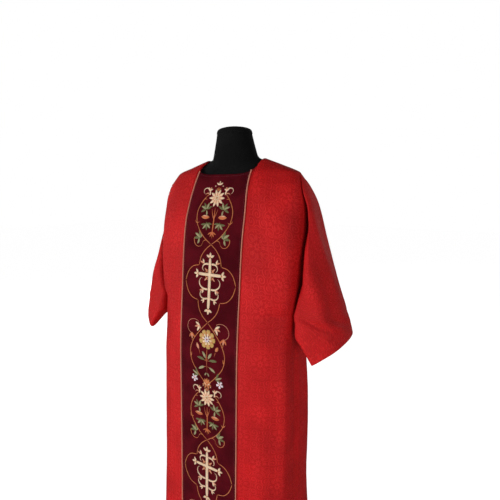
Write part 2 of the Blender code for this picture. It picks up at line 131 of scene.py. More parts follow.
def hermite(t: Array, width: Array, first: Array, last: Array, leave: Array, arrive: Array) -> Array:
    """A cubic between two values.

    Args:
        t: places to read it at, from 0 to 1 over its width.
        width: its width.
        first: value at its start.
        last: value at its end.
        leave: slope at its start.
        arrive: slope at its end.

    Returns:
        The cubic's values.
    """
    return (
        first * (1 + 2 * t) * (1 - t) ** 2
        + leave * width * t * (1 - t) ** 2
        + last * t * t * (3 - 2 * t)
        - arrive * width * t * t * (1 - t)
    )


def ease(t: Array) -> Array:
    """0 to 1 with a soft start and a soft end."""
    t = np.clip(t, 0.0, 1.0)
    return t * t * (3 - 2 * t)


def bell(distance: Array, width: float) -> Array:
    """1 in the middle, and softly down to nothing past a width."""
    return np.exp(-((distance / width) ** 2))


class Sections:
    """A table of level sections: each column is a smooth function of height.

    Rows are in millimetres, apart from how square a section is, and are kept in metres.
    """

    def __init__(self, columns: Sequence[str], *rows: Sequence[float]) -> None:
        """Sorts the rows into rising order of height, the first column.

        Args:
            columns: the columns' names.
            rows: for each section its values.
        """
        named = zip(columns, np.array(sorted(rows)).T)
        self.columns = {name: part if name.endswith("square") else part / PER_METRE for name, part in named}
        self.heights = self.columns["height"]

    def at(self, column: str, height: Array) -> Array:
        """A column's value at each height."""
        return smooth_through(self.heights, self.columns[column], np.asarray(height, float))


BODY = Sections(
    ("height", "half", "front", "back", "front_edge", "back_edge", "front_square", "back_square"),
    (1488, 0, -10, -10, -10, -10, 2.2, 2.2),
    (1478, 60, -28, 12, -10, -10, 2.2, 2.2),
    (1462, 100, -45, 30, -12, -12, 2.2, 2.2),
    (1441, 158, -64, 48, -16, -16, 2.3, 2.2),
    (1420, 209, -81, 62, -20, -20, 2.4, 2.2),
    (1400, 218.5, -92, 71, -32, -2, 2.4, 2.2),
    (1385, 225.5, -99, 78, -40, 10, 2.5, 2.2),
    (1340, 233, -116, 92, -52, 30, 2.6, 2.3),
    (1250, 235.5, -140, 108, -60, 46, 2.7, 2.3),
    (1180, 234.5, -149, 113, -61, 47, 2.8, 2.3),
    (1100, 232, -156, 116, -56, 40, 2.9, 2.3),
    (1060, 230, -160, 117, -44, 22, 3.0, 2.3),
    (1030, 227.5, -164, 117, -14, -14, 3.0, 2.3),
    (960, 224, -170, 117, -28, -28, 3.0, 2.3),
    (880, 229, -174, 117, -30, -30, 3.0, 2.3),
    (750, 235, -177, 118, -30, -30, 2.9, 2.3),
    (500, 243, -184, 126, -30, -30, 2.9, 2.4),
    (250, 258, -194, 138, -30, -30, 2.9, 2.5),
)

SLEEVE_STATIONS = ("lead", "face", "outer", "rear", "tail", "inner")
SLEEVE = Sections(
    ("height", *(f"{station}_{axis}" for station in SLEEVE_STATIONS for axis in "xy")),
    (1420, 209, -20, 209, -20, 209.5, -20, 209, -20, 209, -20, 209, -20),
    (1400, 221.5, -34, 224, -26, 224.5, -17, 223.8, -8, 222.2, -3, 220.5, -2),
    (1385, 229.5, -50, 233, -36, 233.5, -16, 231.8, 1, 229.8, 10, 227.6, 13),
    (1340, 242, -69, 249, -46, 250, -8, 245.5, 24, 241, 42, 236.5, 43),
    (1250, 253, -82, 264, -54, 269, -4, 260, 46, 249.5, 82, 241, 70),
    (1180, 252, -90, 278, -61, 290, 0, 276, 64, 257, 110, 242, 86),
    (1100, 247, -95, 302, -72, 320, 4, 299, 84, 268, 136, 243, 92),
    (1030, 239, -98, 316, -76, 340, 8, 316, 104, 276, 162, 243, 100),
    (985, 239, -101, 324, -78, 350, 10, 325, 116, 282, 178, 246, 104),
    (950, 264, -102, 330, -79, 357, 12, 332, 124, 287, 188, 252, 104),
    (900, 296, -98, 334, -78, 365, 14, 339, 132, 292, 196, 262, 102),
)
UNDER_SEAM = Sections(
    ("height", "x", "y"),
    (1030, 227.5, -14),
    (985, 233, -82),
    (950, 260, -92),
    (900, 296, -95),
)

# How far the deep trough between body and sleeve draws the armhole back.
TROUGH = Sections(
    ("height", "depth"),
    (1400, 0),
    (1365, 12),
    (1320, 44),
    (1270, 56),
    (1210, 53),
    (1150, 41),
    (1080, 25),
    (1010, 11),
    (950, 1),
    (900, 0),
)
TROUGH_IN_BODY = 0.024
TROUGH_IN_SLEEVE = 0.036


# ---- Folds and creases ----


@dataclass(frozen=True)
class Fold:
    """A soft fold that grows towards the hem.

    across and reach are its place and half width from -1 to 1 over the body; depth is outward at the hem, and
    start is the height where it begins.
    """

    across: float
    reach: float
    depth: float
    start: float

    def push(self, across: Array, height: Array) -> Array:
        """How far the fold pushes the cloth outward."""
        fall = ease((self.start - height) / (self.start - HEM))
        return self.depth * fall * bell(across - self.across, self.reach)


@dataclass(frozen=True)
class Crease:
    """A soft trough or ridge along a bowed line.

    start and end are places on the cloth: the way round from its middle line, then the height. depth is
    outward, and inward where it is negative. fade is how blunt its two ends are.
    """

    start: Point2
    end: Point2
    width: float
    depth: float
    bow: float
    fade: float = 0.8

    def push(self, around: Array, height: Array) -> Array:
        """How far the crease pushes the cloth outward.

        Args:
            around: metres round from the cloth's middle line.
            height: height of each point.

        Returns:
            The push at each point.
        """
        run = np.subtract(self.end, self.start)
        length = float(np.hypot(*run))
        out, up = around - self.start[0], height - self.start[1]
        along = np.clip((out * run[0] + up * run[1]) / length**2, 0.0, 1.0)
        aside = (up * run[0] - out * run[1]) / length - self.bow * 4 * along * (1 - along)
        taper = np.sin(np.pi * along) ** self.fade
        return self.depth * taper * bell(aside, self.width)


@dataclass(frozen=True)
class Wave:
    """The slight unevenness of hanging cloth.

    around and along are the lengths of its waves over the cloth and down it. Those around it wander to the
    sides by wander, in radians, over each wander_length, and those along it start at shift.
    """

    height: float
    around: float
    along: float
    wander: float
    wander_length: float
    shift: float

    def push(self, around: Array, height: Array) -> Array:
        """How far the wave pushes the cloth outward."""
        across = TURN * around / self.around + self.wander * np.sin(TURN * height / self.wander_length)
        return self.height * np.sin(across) * np.sin(TURN * height / self.along + self.shift)


def crease_table(*rows: Sequence[float]) -> tuple[Crease, ...]:
    """Creases from rows in millimetres: the start's place round and height, the end's, width, depth, bow."""
    return tuple(Crease((a, b), (c, d), *sizes) for a, b, c, d, *sizes in np.array(rows) / PER_METRE)


FRONT_FOLDS = (
    Fold(-0.90, 0.10, -0.010, 0.86),
    Fold(-0.72, 0.11, 0.008, 0.92),
    Fold(-0.52, 0.11, -0.005, 0.74),
    Fold(0.55, 0.12, -0.006, 0.78),
    Fold(0.74, 0.10, 0.009, 0.90),
    Fold(0.91, 0.09, -0.010, 0.82),
)
BACK_FOLDS = (
    Fold(-0.88, 0.12, -0.012, 1.00),
    Fold(-0.62, 0.13, 0.019, 1.26),
    Fold(-0.32, 0.14, -0.013, 1.20),
    Fold(-0.02, 0.14, 0.018, 1.30),
    Fold(0.30, 0.13, -0.014, 1.16),
    Fold(0.60, 0.13, 0.018, 1.24),
    Fold(0.86, 0.12, -0.011, 0.94),
)

FRONT_CREASES = crease_table(
    (236, 1360, 262, 840, 26, 2.2, 10),
    (200, 1300, 205, 620, 22, -1.6, -8),
    (284, 1140, 292, 360, 20, -6.2, 2),
    (236, 1160, 243, 340, 21, 5.8, -2),
    (250, 980, 246, 300, 20, 2.4, -6),
    (130, 1400, 190, 1200, 18, -1, 10),
    (165, 1430, 215, 1220, 16, 1, 12),
    (150, 900, 140, 340, 20, -1.3, 6),
    (-236, 1340, -250, 900, 24, 2, -8),
    (-205, 1200, -196, 580, 20, -1.5, 8),
    (-292, 1060, -286, 500, 17, -2.4, -6),
    (-155, 1420, -205, 1240, 16, 1.1, -10),
    (-130, 980, -150, 400, 18, 1.2, -6),
    (-245, 860, -240, 300, 18, 1.8, 5),
)
BACK_CREASES = crease_table(
    (0, 1380, 30, 1020, 30, -7.4, 10),
    (110, 1400, 150, 980, 24, 8.2, 12),
    (-120, 1390, -140, 1000, 24, 7.4, -10),
    (200, 1320, 215, 800, 22, -8.2, 6),
    (-205, 1300, -210, 860, 22, -8.8, -8),
    (70, 1100, 50, 600, 22, 6.6, -8),
    (-60, 1140, -85, 660, 22, -6.6, 6),
    (250, 1000, 262, 480, 20, 8.8, 6),
    (-252, 980, -244, 440, 20, 8.2, -5),
)
LEFT_SLEEVE_CREASES = crease_table(
    (-88, 1360, -172, 930, 19, 5.8, 8),
    (-120, 1310, -206, 960, 15, -6.2, 6),
    (-56, 1320, -124, 940, 19, -4.8, 6),
    (-20, 1370, -70, 950, 20, 5, 6),
    (26, 1310, 6, 980, 18, -2.6, -6),
    (66, 1340, 104, 1000, 22, 2.6, -6),
    (108, 1260, 160, 980, 20, -6, -6),
    (-250, 1180, -265, 980, 16, -2.6, 4),
)
RIGHT_SLEEVE_CREASES = crease_table(
    (-95, 1340, -180, 970, 20, 3.6, 10),
    (-50, 1300, -118, 940, 16, -7, 4),
    (-8, 1360, -45, 960, 22, 6.2, 8),
    (40, 1320, 28, 950, 18, -6.8, -4),
    (78, 1330, 110, 990, 22, 6.8, -8),
    (134, 1250, 180, 1000, 18, -5.6, -6),
    (-132, 1260, -214, 1000, 16, -1.8, 6),
)

WAVES = (
    Wave(0.00034, 0.083, 0.190, 0.60 * math.pi, 0.370, 1.3),
    Wave(0.00012, 0.047, 0.071, 1.70, 0.113, 0.4),
)


def pushed(creases: Sequence[Crease], around: Array, height: Array) -> Array:
    """How far creases and the cloth's unevenness push it outward."""
    return sum(shape.push(around, height) for shape in (*WAVES, *creases))


# ---- Grids of points and meshes ----


def walked(points: Array, axis: int = 0) -> Array:
    """Length walked from the start of a line, or of each line of a grid along an axis."""
    steps = np.linalg.norm(np.diff(points, axis=axis), axis=-1)
    return np.cumsum(np.insert(steps, 0, 0.0, axis=axis), axis=axis)


def unit(vectors: Array) -> Array:
    """The same directions with length 1."""
    return vectors / (np.linalg.norm(vectors, axis=-1, keepdims=True) + TINY)


def read_line(line: Array, walk: Array, where: Array) -> Array:
    """Values along a line, read at lengths walked from its start."""
    return np.column_stack([np.interp(where, walk, values) for values in line.T])


def grid_normals(points: Array, inside: Array, ring: bool = False) -> Array:
    """Unit normals of a grid of points.

    Args:
        points: rows of points.
        inside: a point, or one for each row, that the normals turn away from.
        ring: whether each row closes on itself.

    Returns:
        One normal for each point.
    """
    across = np.roll(points, -1, axis=1) - np.roll(points, 1, axis=1) if ring else np.gradient(points, axis=1)
    normals = unit(np.cross(across, np.gradient(points, axis=0)))
    facing = np.sum(normals * (points - inside), axis=2).mean()
    return normals if facing > 0 else -normals


def line_down(points: Array, normals: Array, depth: float) -> Line:
    """A line across a grid of points.

    Args:
        points: rows of points.
        normals: the cloth's normal at each.
        depth: distance down each column, from the first row.

    Returns:
        The line, and the normals along it.
    """
    rows = np.arange(len(points))
    row = np.array([np.interp(depth, walk, rows) for walk in walked(points).T])
    first, column = row.astype(int), np.arange(points.shape[1])
    part = (row - first)[:, None]
    upper, lower = (first, column), (first + 1, column)
    line, out = (grid[upper] * (1 - part) + grid[lower] * part for grid in (points, normals))
    return line, out


def placed(name: str, data: bpy.types.ID) -> Object:
    """Adds an object to the scene, at the origin."""
    piece = bpy.data.objects.new(name, data)
    bpy.context.scene.collection.objects.link(piece)
    return piece


def mesh_piece(name: str, points: Array, faces: Sequence[Sequence[int]]) -> Object:
    """Makes a smooth-shaded mesh object.

    Args:
        name: the piece's name.
        points: its points, in any grid.
        faces: for each face the indices of its points.

    Returns:
        The object.
    """
    mesh = bpy.data.meshes.new(name)
    mesh.from_pydata(np.asarray(points, float).reshape(-1, 3).tolist(), [], faces)
    mesh.shade_smooth()
    mesh.update()
    return placed(name, mesh)


def paint_flat(piece: Object, name: str, flat: Array | Sequence[Point2]) -> None:
    """Keeps the flat place of each face corner as a UV map."""
    layer = piece.data.uv_layers.new(name=name)
    layer.data.foreach_set("uv", np.array(flat, np.float32).ravel())


def sheet_piece(name: str, points: Array, flat: Array, inside: Array, ring: bool = False) -> Object:
    """Makes a mesh of a grid of points, facing out, with its flat cloth as a UV map.

    Args:
        name: the piece's name.
        points: rows of points.
        flat: the flat place of each point; on a ring its rows have one more column than the points.
        inside: a point, or one for each row, that the faces turn away from.
        ring: whether each row closes on itself.

    Returns:
        The mesh object.
    """
    rows, count = points.shape[:2]
    row, column = np.meshgrid(np.arange(rows - 1), np.arange(count if ring else count - 1), indexing="ij")
    row, column = row.ravel(), column.ravel()
    corners = ((0, 0), (1, 0), (1, 1), (0, 1))
    faces = np.column_stack([(row + down) * count + (column + right) % count for down, right in corners])
    places = np.stack([flat[row + down, column + right] for down, right in corners], axis=1)
    middle = np.broadcast_to(inside, points[:, 0].shape)[row]
    a, b, d = (points.reshape(-1, 3)[faces[:, i]] for i in (0, 1, 3))
    if np.sum(np.cross(b - a, d - a) * (a - middle)) < 0:
        faces, places = faces[:, ::-1], places[:, ::-1]
    piece = mesh_piece(name, points, faces.tolist())
    paint_flat(piece, "cloth", places)
    return piece


def finish_piece(piece: Object, material: Material, slot: str, *replaced: str) -> None:
    """Gives a piece its finish and its place in the frame.

    Args:
        piece: the piece.
        material: its finish.
        slot: not used.
        replaced: the nodes that it stands for.
    """
    piece.data.materials.clear()
    piece.data.materials.append(material)
    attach(piece, ROOT)
    if replaced:
        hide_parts(*replaced)
    log.info("%s: %d faces", piece.name, len(piece.data.polygons))


@dataclass(frozen=True)
class Cloth:
    """One cut of cloth: the node it stands for, the size of the whole cut, its area and what it rests on."""

    node: str
    cut: Point2
    area: float
    rests_on: tuple[str, ...] = ()
    kind: str = "cloth"
    slot: str = "red_damask"
    wall: float = WALL
    edge_round: float = EDGE_ROUND
    edge_steps: int = 2
    edge_angle: float = 60.0

    def make(self, points: Array, flat: Array, inside: Array, material: Material, ring: bool = False) -> None:
        """Makes the piece: a wall inward from its outer skin, with rounded edges.

        Args:
            points: rows of points on the outer skin.
            flat: the flat place of each, as sheet_piece takes it.
            inside: a point, or one for each row, that the cloth turns away from.
            material: its finish.
            ring: whether each row closes on itself.
        """
        piece = sheet_piece(f"{self.node}_{self.kind}", points, flat, inside, ring)
        solid = piece.modifiers.new("wall", "SOLIDIFY")
        solid.thickness = self.wall
        solid.offset = -1
        rounding = piece.modifiers.new("edges", "BEVEL")
        rounding.width = self.edge_round
        rounding.segments = self.edge_steps
        rounding.limit_method = "ANGLE"
        rounding.angle_limit = math.radians(self.edge_angle)
        rounding.use_clamp_overlap = True
        finish_piece(piece, material, self.slot, self.node)
        list(self.rests_on)


# ---- Body of the garment ----


def ridge_height(reach: Array) -> Array:
    """Height of the shoulder ridge at a distance from the middle."""
    above = BODY.heights >= SHOULDER_TOP
    halves, heights = BODY.columns["half"][above], BODY.heights[above]
    return smooth_through(halves[::-1], heights[::-1], reach)


def neckline_height(reach: Array, drop: float) -> Array:
    """Height of the neckline edge at a distance from the middle."""
    side = np.minimum(np.abs(reach) / NECK_HALF_WIDTH, 1.0) ** NECK_SQUARENESS
    rise = 1 - (1 - side) ** (1 / NECK_SQUARENESS)
    return ridge_height(np.array(NECK_HALF_WIDTH)) - drop * (1 - rise)


def orphrey_half_width(height: Array) -> Array:
    """Half width of the orphrey at a height."""
    low, high = ORPHREY_TAPER
    narrowing = ORPHREY_HALF_WIDTH - ORPHREY_TOP_HALF_WIDTH
    return ORPHREY_HALF_WIDTH - narrowing * ease((height - low) / (high - low))


def share_left(distance: Array, reach: float, kept: float) -> Array:
    """The share of a crease that is left near an edge: kept at the edge itself, and all past its reach."""
    return kept + (1 - kept) * ease(distance / reach)


class Side(Enum):
    """The front or the back of the body: the way that it faces along Y."""

    FRONT = -1
    BACK = 1

    def read(self, column: str, height: Array) -> Array:
        """Reads the side's own column of the body's sections, such as edge."""
        return BODY.at(f"{self.name.lower()}{column}", height)


@dataclass
class BodyPanel:
    """The front or the back of the body, from the neckline and shoulders down to the hem.

    Columns of points run down it, under the orphrey, the neckline and the shoulder. crowding draws them
    together towards the edges. Creases fade within calm_edge of an edge and, to kept_on_band, under the
    orphrey. hem_dent is the line that the hem's stitches press in.
    """

    cloth: Cloth
    side: Side
    neck_drop: float
    folds: Sequence[Fold]
    creases: Sequence[Crease]
    orphrey_columns: int = 12
    neck_columns: int = 4
    side_columns: int = 52
    upper_rows: int = 84
    lower_rows: int = 104
    levels: int = 420
    samples: int = 260
    crowding: int = 3
    calm_edge: float = 0.035
    calm_band: float = 0.05
    kept_on_band: float = 0.25
    hem_rows: tuple[float, ...] = (0.034, 0.0285, 0.0265, 0.025, 0.0235, 0.0215, 0.015, 0.008, 0.003)
    hem_fold: float = 0.025
    hem_dent: float = 0.0005
    hem_dent_width: float = 0.0016
    points: Array = field(init=False)
    normals: Array = field(init=False)
    around: Array = field(init=False)

    def edge(self, height: Array) -> Array:
        """Y of the side edge, which both panels share above the shoulder point and below the arm."""
        own = np.where(height > SHOULDER_TOP, BODY.at("front_edge", height), self.side.read("_edge", height))
        return np.where(height < UNDERARM, BODY.at("back_edge", height), own)

    def section(self, x: Array, height: Array) -> Array:
        """Works out points of the outer skin, without creases.

        Args:
            x: place of each across the garment.
            height: height of each.

        Returns:
            The points.
        """
        half = np.maximum(BODY.at("half", height), TOUCH)
        square = self.side.read("_square", height)
        across = np.clip(x / half, -1.0, 1.0)
        edge = self.edge(height)
        bulge = (1 - np.abs(across) ** square) ** (1 / square)
        fold = sum(fold.push(across, height) for fold in self.folds) * bulge
        y = edge + (self.side.read("", height) - edge) * bulge + self.side.value * fold
        return np.stack(np.broadcast_arrays(x, y, height), axis=-1)

    def column_table(self) -> tuple[Array, Array]:
        """Spreads the columns beside the orphrey evenly over the cloth.

        Returns:
            Levels from the hem up, and for each the x of the columns from the orphrey's edge to the panel's.
        """
        levels = np.linspace(HEM, SHOULDER_TOP, self.levels)
        spread = 1 - (1 - np.linspace(0, 1, self.samples)) ** self.crowding
        inner = orphrey_half_width(levels)[:, None]
        x = inner + (BODY.at("half", levels)[:, None] - inner) * spread
        walk = walked(self.section(x, np.broadcast_to(levels[:, None], x.shape)), 1)
        shares = walk / walk[:, -1:]
        corner = float(np.interp(NECK_CORNER, x[-1], shares[-1]))
        beside_neck = np.linspace(0, corner, self.neck_columns + 1)[1:]
        columns = np.concatenate(([0.0], beside_neck, np.linspace(corner, 1, self.side_columns)[1:]))
        return levels, np.array([np.interp(columns, share, places) for share, places in zip(shares, x)])

    def column_x(self, heights: Array, levels: Array, table: Array) -> Array:
        """Reads the place of every column, from the middle outward.

        Args:
            heights: rows of heights, one for each column.
            levels: the levels of the column table.
            table: the x of the columns beside the orphrey at each level.

        Returns:
            x at each height.
        """
        level = np.minimum(heights, SHOULDER_TOP)
        band, beside = level[:, : self.orphrey_columns], level[:, self.orphrey_columns :]
        inside = np.linspace(0, 1, self.orphrey_columns + 1)[:-1] * orphrey_half_width(band)
        outside = [np.interp(column, levels, x) for column, x in zip(beside.T, table.T)]
        return np.column_stack((inside, np.array(outside).T))

    def tops(self, x: Array) -> Array:
        """Height of the panel's upper edge at each x."""
        ridge = ridge_height(np.minimum(x, SHOULDER_REACH))
        return np.where(x < NECK_CORNER - TOUCH, neckline_height(x, self.neck_drop), ridge)

    def half_grid(self, way: int) -> Array:
        """Spreads rows of points from the middle to one side, evenly down the cloth.

        Args:
            way: 1 or -1, the side along X.

        Returns:
            The rows, from the top down.
        """
        levels, table = self.column_table()
        count = self.orphrey_columns + table.shape[1]
        tops = self.tops(self.column_x(np.full((1, count), SHOULDER_TOP), levels, table)[0])
        fall = np.linspace(0, 1, self.samples)[:, None] ** self.crowding
        heights = tops - (tops - UNDERARM) * fall
        walk = walked(self.section(way * self.column_x(heights, levels, table), heights))
        shares = np.linspace(0, 1, self.upper_rows + 1)
        upper = [np.interp(shares, walk[:, j] / walk[-1, j], heights[::-1, j][::-1]) for j in range(count)]
        lower = np.linspace(UNDERARM, HEM + self.hem_rows[0], self.lower_rows + 1)[1:-1]
        below = np.concatenate((lower, HEM + np.array(self.hem_rows), [HEM]))
        heights = np.concatenate((np.array(upper).T, np.repeat(below[:, None], count, axis=1)))
        points = self.section(way * self.column_x(heights, levels, table), heights)
        points[:, -1, 0] = way * BODY.at("half", heights[:, -1])
        points[:, -1, 1] = self.edge(heights[:, -1])
        ridge = np.abs(points[0, :, 0]) > NECK_CORNER + TOUCH
        points[0, ridge, 1] = self.edge(heights[0, ridge])
        return points

    def shape(self) -> None:
        """Works out the panel's points, with its creases, and how far round each lies."""
        right, left = self.half_grid(1), self.half_grid(-1)
        points = np.concatenate((left[:, :0:-1], right), axis=1)
        middle = right.shape[1]
        walk = walked(points, 1)
        self.around = walk - walk[:, middle - 1 : middle]
        edge = np.minimum(walk, walk[:, -1:] - walk)
        on_neck = np.abs(points[0, :, 0]) < NECK_CORNER
        down = np.where(on_neck, np.inf, walked(points))
        heights = points[..., 2]
        calm = ease(np.minimum(edge, down) / self.calm_edge)
        calm *= share_left(np.abs(self.around) - ORPHREY_TOP_HALF_WIDTH, self.calm_band, self.kept_on_band)
        dent = bell(heights - HEM - self.hem_fold, self.hem_dent_width)
        push = pushed(self.creases, self.around, heights) * calm - self.hem_dent * dent
        points = points + grid_normals(points, BODY_MIDDLE) * push[..., None]
        if self.side is Side.FRONT:
            points[..., 1] += TROUGH.at("depth", heights) * bell(edge, TROUGH_IN_BODY)
        points[:, 0, 0] += SEAM_HALF_GAP
        points[:, -1, 0] -= SEAM_HALF_GAP
        points[0, ~on_neck, 1] += self.side.value * SEAM_HALF_GAP
        below = heights[:, 0] <= UNDERARM + TOUCH
        for end in (0, -1):
            points[below, end, 1] += self.side.value * SEAM_HALF_GAP
        self.points = points
        self.normals = grid_normals(points, BODY_MIDDLE)

    def hem_line(self) -> Line:
        """The line where the hem is sewn."""
        return line_down(self.points[::-1], self.normals[::-1], self.hem_fold)

    def neck_line(self) -> Line:
        """The line where the neckline is sewn."""
        beside = np.abs(self.points[0, :, 0]) < NECK_CORNER
        return line_down(self.points[:, beside], self.normals[:, beside], NECK_STITCH)

    def build(self, material: Material) -> None:
        """Makes the panel's cloth.

        Args:
            material: the damask.
        """
        up = walked(self.points[::-1])[::-1]
        middle = up[:, self.points.shape[1] // 2]
        flat = np.stack((self.around, np.broadcast_to(middle[:, None], self.around.shape)), axis=-1)
        self.cloth.make(self.points, flat, BODY_MIDDLE, material)


# ---- Sleeves ----


def row_slopes(places: Array, values: Array) -> Array:
    """Slopes along rows of unevenly placed values that follow the neighbours.

    Args:
        places: rising places along each row.
        values: the values there.

    Returns:
        The slope at each value.
    """
    gaps = np.diff(places, axis=1)
    steps = np.diff(values, axis=1) / gaps
    before, after = gaps[:, :-1], gaps[:, 1:]
    inner = (after * steps[:, :-1] + before * steps[:, 1:]) / (before + after)
    return np.concatenate((steps[:, :1], inner, steps[:, -1:]), axis=1)


@dataclass
class Sleeve:
    """A wide tube that drops from the armhole to a slanting cuff.

    Lines of points run down it and fan out from the armhole, drawn together by line_crowding, line_spread
    and step_crowding. The cuff lies in a plane through cuff_corner that rises outward and back, and it is
    tucked up between tuck_stations. top_gap keeps the first points under the shoulder point.
    """

    cloth: Cloth
    way: int
    creases: Sequence[Crease]
    lines: int = 52
    steps: int = 84
    fan: float = 0.9
    fan_start: float = 1e-9
    line_crowding: float = 0.5
    line_spread: float = 0.75
    step_crowding: float = 1.25
    top_gap: float = 2e-5
    cuff_corner: Point3 = (0.291, -0.092, 0.909)
    rise_out: float = 0.68
    rise_back: float = 0.02
    tuck: float = 0.080
    tuck_stations: tuple[float, float, float, float] = (0.20, 0.60, 0.90, 1.00)
    cuff_passes: int = 12
    hem_fold: float = 0.020
    calm_edge: float = 0.03
    calm_cuff: float = 0.09
    kept_at_cuff: float = 0.25
    points: Array = field(init=False)
    around: Array = field(init=False)

    def stations(self, height: Array) -> Array:
        """Works out the stations of sections.

        Args:
            height: height of each section.

        Returns:
            Each section's stations, from the armhole's front to its back.
        """
        upper, seam_y = height > UNDERARM, UNDER_SEAM.at("y", height)
        seam_x = np.where(upper, BODY.at("half", height), UNDER_SEAM.at("x", height))
        front, back = ((seam_x, np.where(upper, side.read("_edge", height), seam_y)) for side in Side)
        middle = [[SLEEVE.at(f"{station}_{axis}", height) for axis in "xy"] for station in SLEEVE_STATIONS]
        return np.moveaxis(np.array([front, *middle, back]), 2, 0)

    def skin(self, height: Array, around: Array) -> tuple[Array, Array]:
        """Works out points of the outer skin.

        Args:
            height: heights of the points.
            around: from -1 at the section's front end to 1 at its back end.

        Returns:
            The points, and half the length of the section at each.
        """
        shape = height.shape
        height, around = np.minimum(height.ravel(), SHOULDER_TOP - self.top_gap), around.ravel()
        stations = self.stations(height)
        walk = walked(stations, 1)
        places = 2 * walk / walk[:, -1:] - 1
        index = np.clip(np.sum(places < around[:, None], axis=1) - 1, 0, places.shape[1] - 2)
        first = (np.arange(len(height)), index)
        last = (first[0], index + 1)
        width = places[last] - places[first]
        t = (around - places[first]) / width
        planes = []
        for values in np.moveaxis(stations, 2, 0):
            slopes = row_slopes(places, values)
            planes.append(hermite(t, width, values[first], values[last], slopes[first], slopes[last]))
        points = np.stack((*planes, height), axis=-1).reshape(*shape, 3)
        return points, (walk[:, -1] / 2).reshape(shape)

    def cuff_height(self, around: Array) -> Array:
        """Finds the cuff's edge, where the sections meet its slanting plane.

        Args:
            around: from -1 at the sections' front end to 1 at their back end.

        Returns:
            The height of the edge at each.
        """
        x, y, z = self.cuff_corner
        rise, high, fall, end = self.tuck_stations
        tuck = self.tuck * ease((around - rise) / (high - rise)) * ease((end - around) / (end - fall))
        height = np.full(around.shape, z)
        for _ in range(self.cuff_passes):
            edge, _half = self.skin(height, around)
            height = z + self.rise_out * (edge[..., 0] - x) + self.rise_back * (edge[..., 1] - y) + tuck
        return height

    def shape(self) -> None:
        """Works out the sleeve's rings, from the armhole to the cuff, each starting on the under seam."""
        spread = np.linspace(0, 1, self.lines + 1)
        crowded = (1 - self.line_crowding) * spread + self.line_crowding * spread**2
        order = [*range(self.lines, -1, -1), *range(1, self.lines)]
        ends = np.array([-1.0] * (self.lines + 1) + [1.0] * (self.lines - 1))
        start = (SHOULDER_TOP - (SHOULDER_TOP - UNDERARM) * crowded)[order]
        share = (spread**self.line_spread)[order]
        down = 1 - (1 - np.linspace(0, 1, self.steps + 1)[:, None]) ** self.step_crowding
        fan = down * (1 + self.fan * share) / (down + self.fan * share + self.fan_start)
        around = ends * (1 - (1 - share) * fan)
        height = start + (self.cuff_height(ends * share) - start) * down
        points, half = self.skin(height, around)
        normals = grid_normals(points, points.mean(axis=1, keepdims=True), ring=True)
        self.around = around * half
        from_seam = (1 - np.abs(around)) * half
        length = walked(points)
        calm = ease((from_seam + np.maximum(0.0, UNDERARM - height)) / self.calm_edge)
        calm = np.minimum(calm, ease(length / self.calm_edge))
        calm *= share_left(length[-1:] - length, self.calm_cuff, self.kept_at_cuff)
        points = points + normals * (pushed(self.creases, self.around, height) * calm)[..., None]
        in_front = np.where(around < 0, bell(from_seam, TROUGH_IN_SLEEVE), 0.0)
        points[..., 1] += TROUGH.at("depth", height) * in_front
        points[0, :, 0] += SEAM_HALF_GAP
        self.points = points * np.array((self.way, 1.0, 1.0))

    def cuff_line(self) -> Line:
        """The closed line where the cuff's hem is sewn."""
        normals = grid_normals(self.points, self.points.mean(axis=1, keepdims=True), ring=True)
        line, out = line_down(self.points[::-1], normals[::-1], self.hem_fold)
        return np.concatenate((line, line[:1])), np.concatenate((out, out[:1]))

    def build(self, material: Material) -> None:
        """Makes the sleeve's cloth.

        Args:
            material: the damask.
        """
        length = walked(self.points)
        place = walked(np.concatenate((self.points, self.points[:, :1]), axis=1), 1)
        place -= place[:, -1:] / 2
        down = np.concatenate((length, length[:, :1]), axis=1)
        flat = np.stack((place, -down), axis=-1)
        self.cloth.make(self.points, flat, self.points.mean(axis=1), material, ring=True)


# ---- Orphrey, cords and embroidery ----


class FrontMap:
    """Wraps flat places on the orphrey onto the front of the garment.

    A flat place is metres across from the middle line and metres down from the neckline.
    """

    def __init__(self, panel: BodyPanel) -> None:
        """Reads the front panel's points and normals beside its middle line.

        Args:
            panel: the front, already shaped.
        """
        middle = panel.points.shape[1] // 2
        reach = panel.orphrey_columns
        band = slice(middle - reach, middle + reach + 1)
        self.points = panel.points[:, band]
        self.normals = panel.normals[:, band]
        self.down = walked(self.points)[:, reach]
        self.heights = self.points[:, reach, 2]

    def place(self, across: Array, down: Array, lift: Array) -> Array:
        """Points on the front of the garment.

        Args:
            across: metres from the middle line.
            down: metres from the neckline.
            lift: height above the cloth.

        Returns:
            The points.
        """
        height = np.interp(down, self.down, self.heights)
        rows = len(self.down) - 1
        row = np.interp(down, self.down, np.arange(rows + 1))
        first = np.clip(row.astype(int), 0, rows - 1)
        part = (row - first)[..., None]
        half = self.points.shape[1] // 2
        share = np.clip(across / orphrey_half_width(height), -1.0, 1.0) * half + half
        column = np.clip(share.astype(int), 0, 2 * half - 1)
        aside = (share - column)[..., None]
        spots = []
        for grid in (self.points, self.normals):
            upper = grid[first, column] * (1 - aside) + grid[first, column + 1] * aside
            lower = grid[first + 1, column] * (1 - aside) + grid[first + 1, column + 1] * aside
            spots.append(upper * (1 - part) + lower * part)
        return spots[0] + spots[1] * lift[..., None]


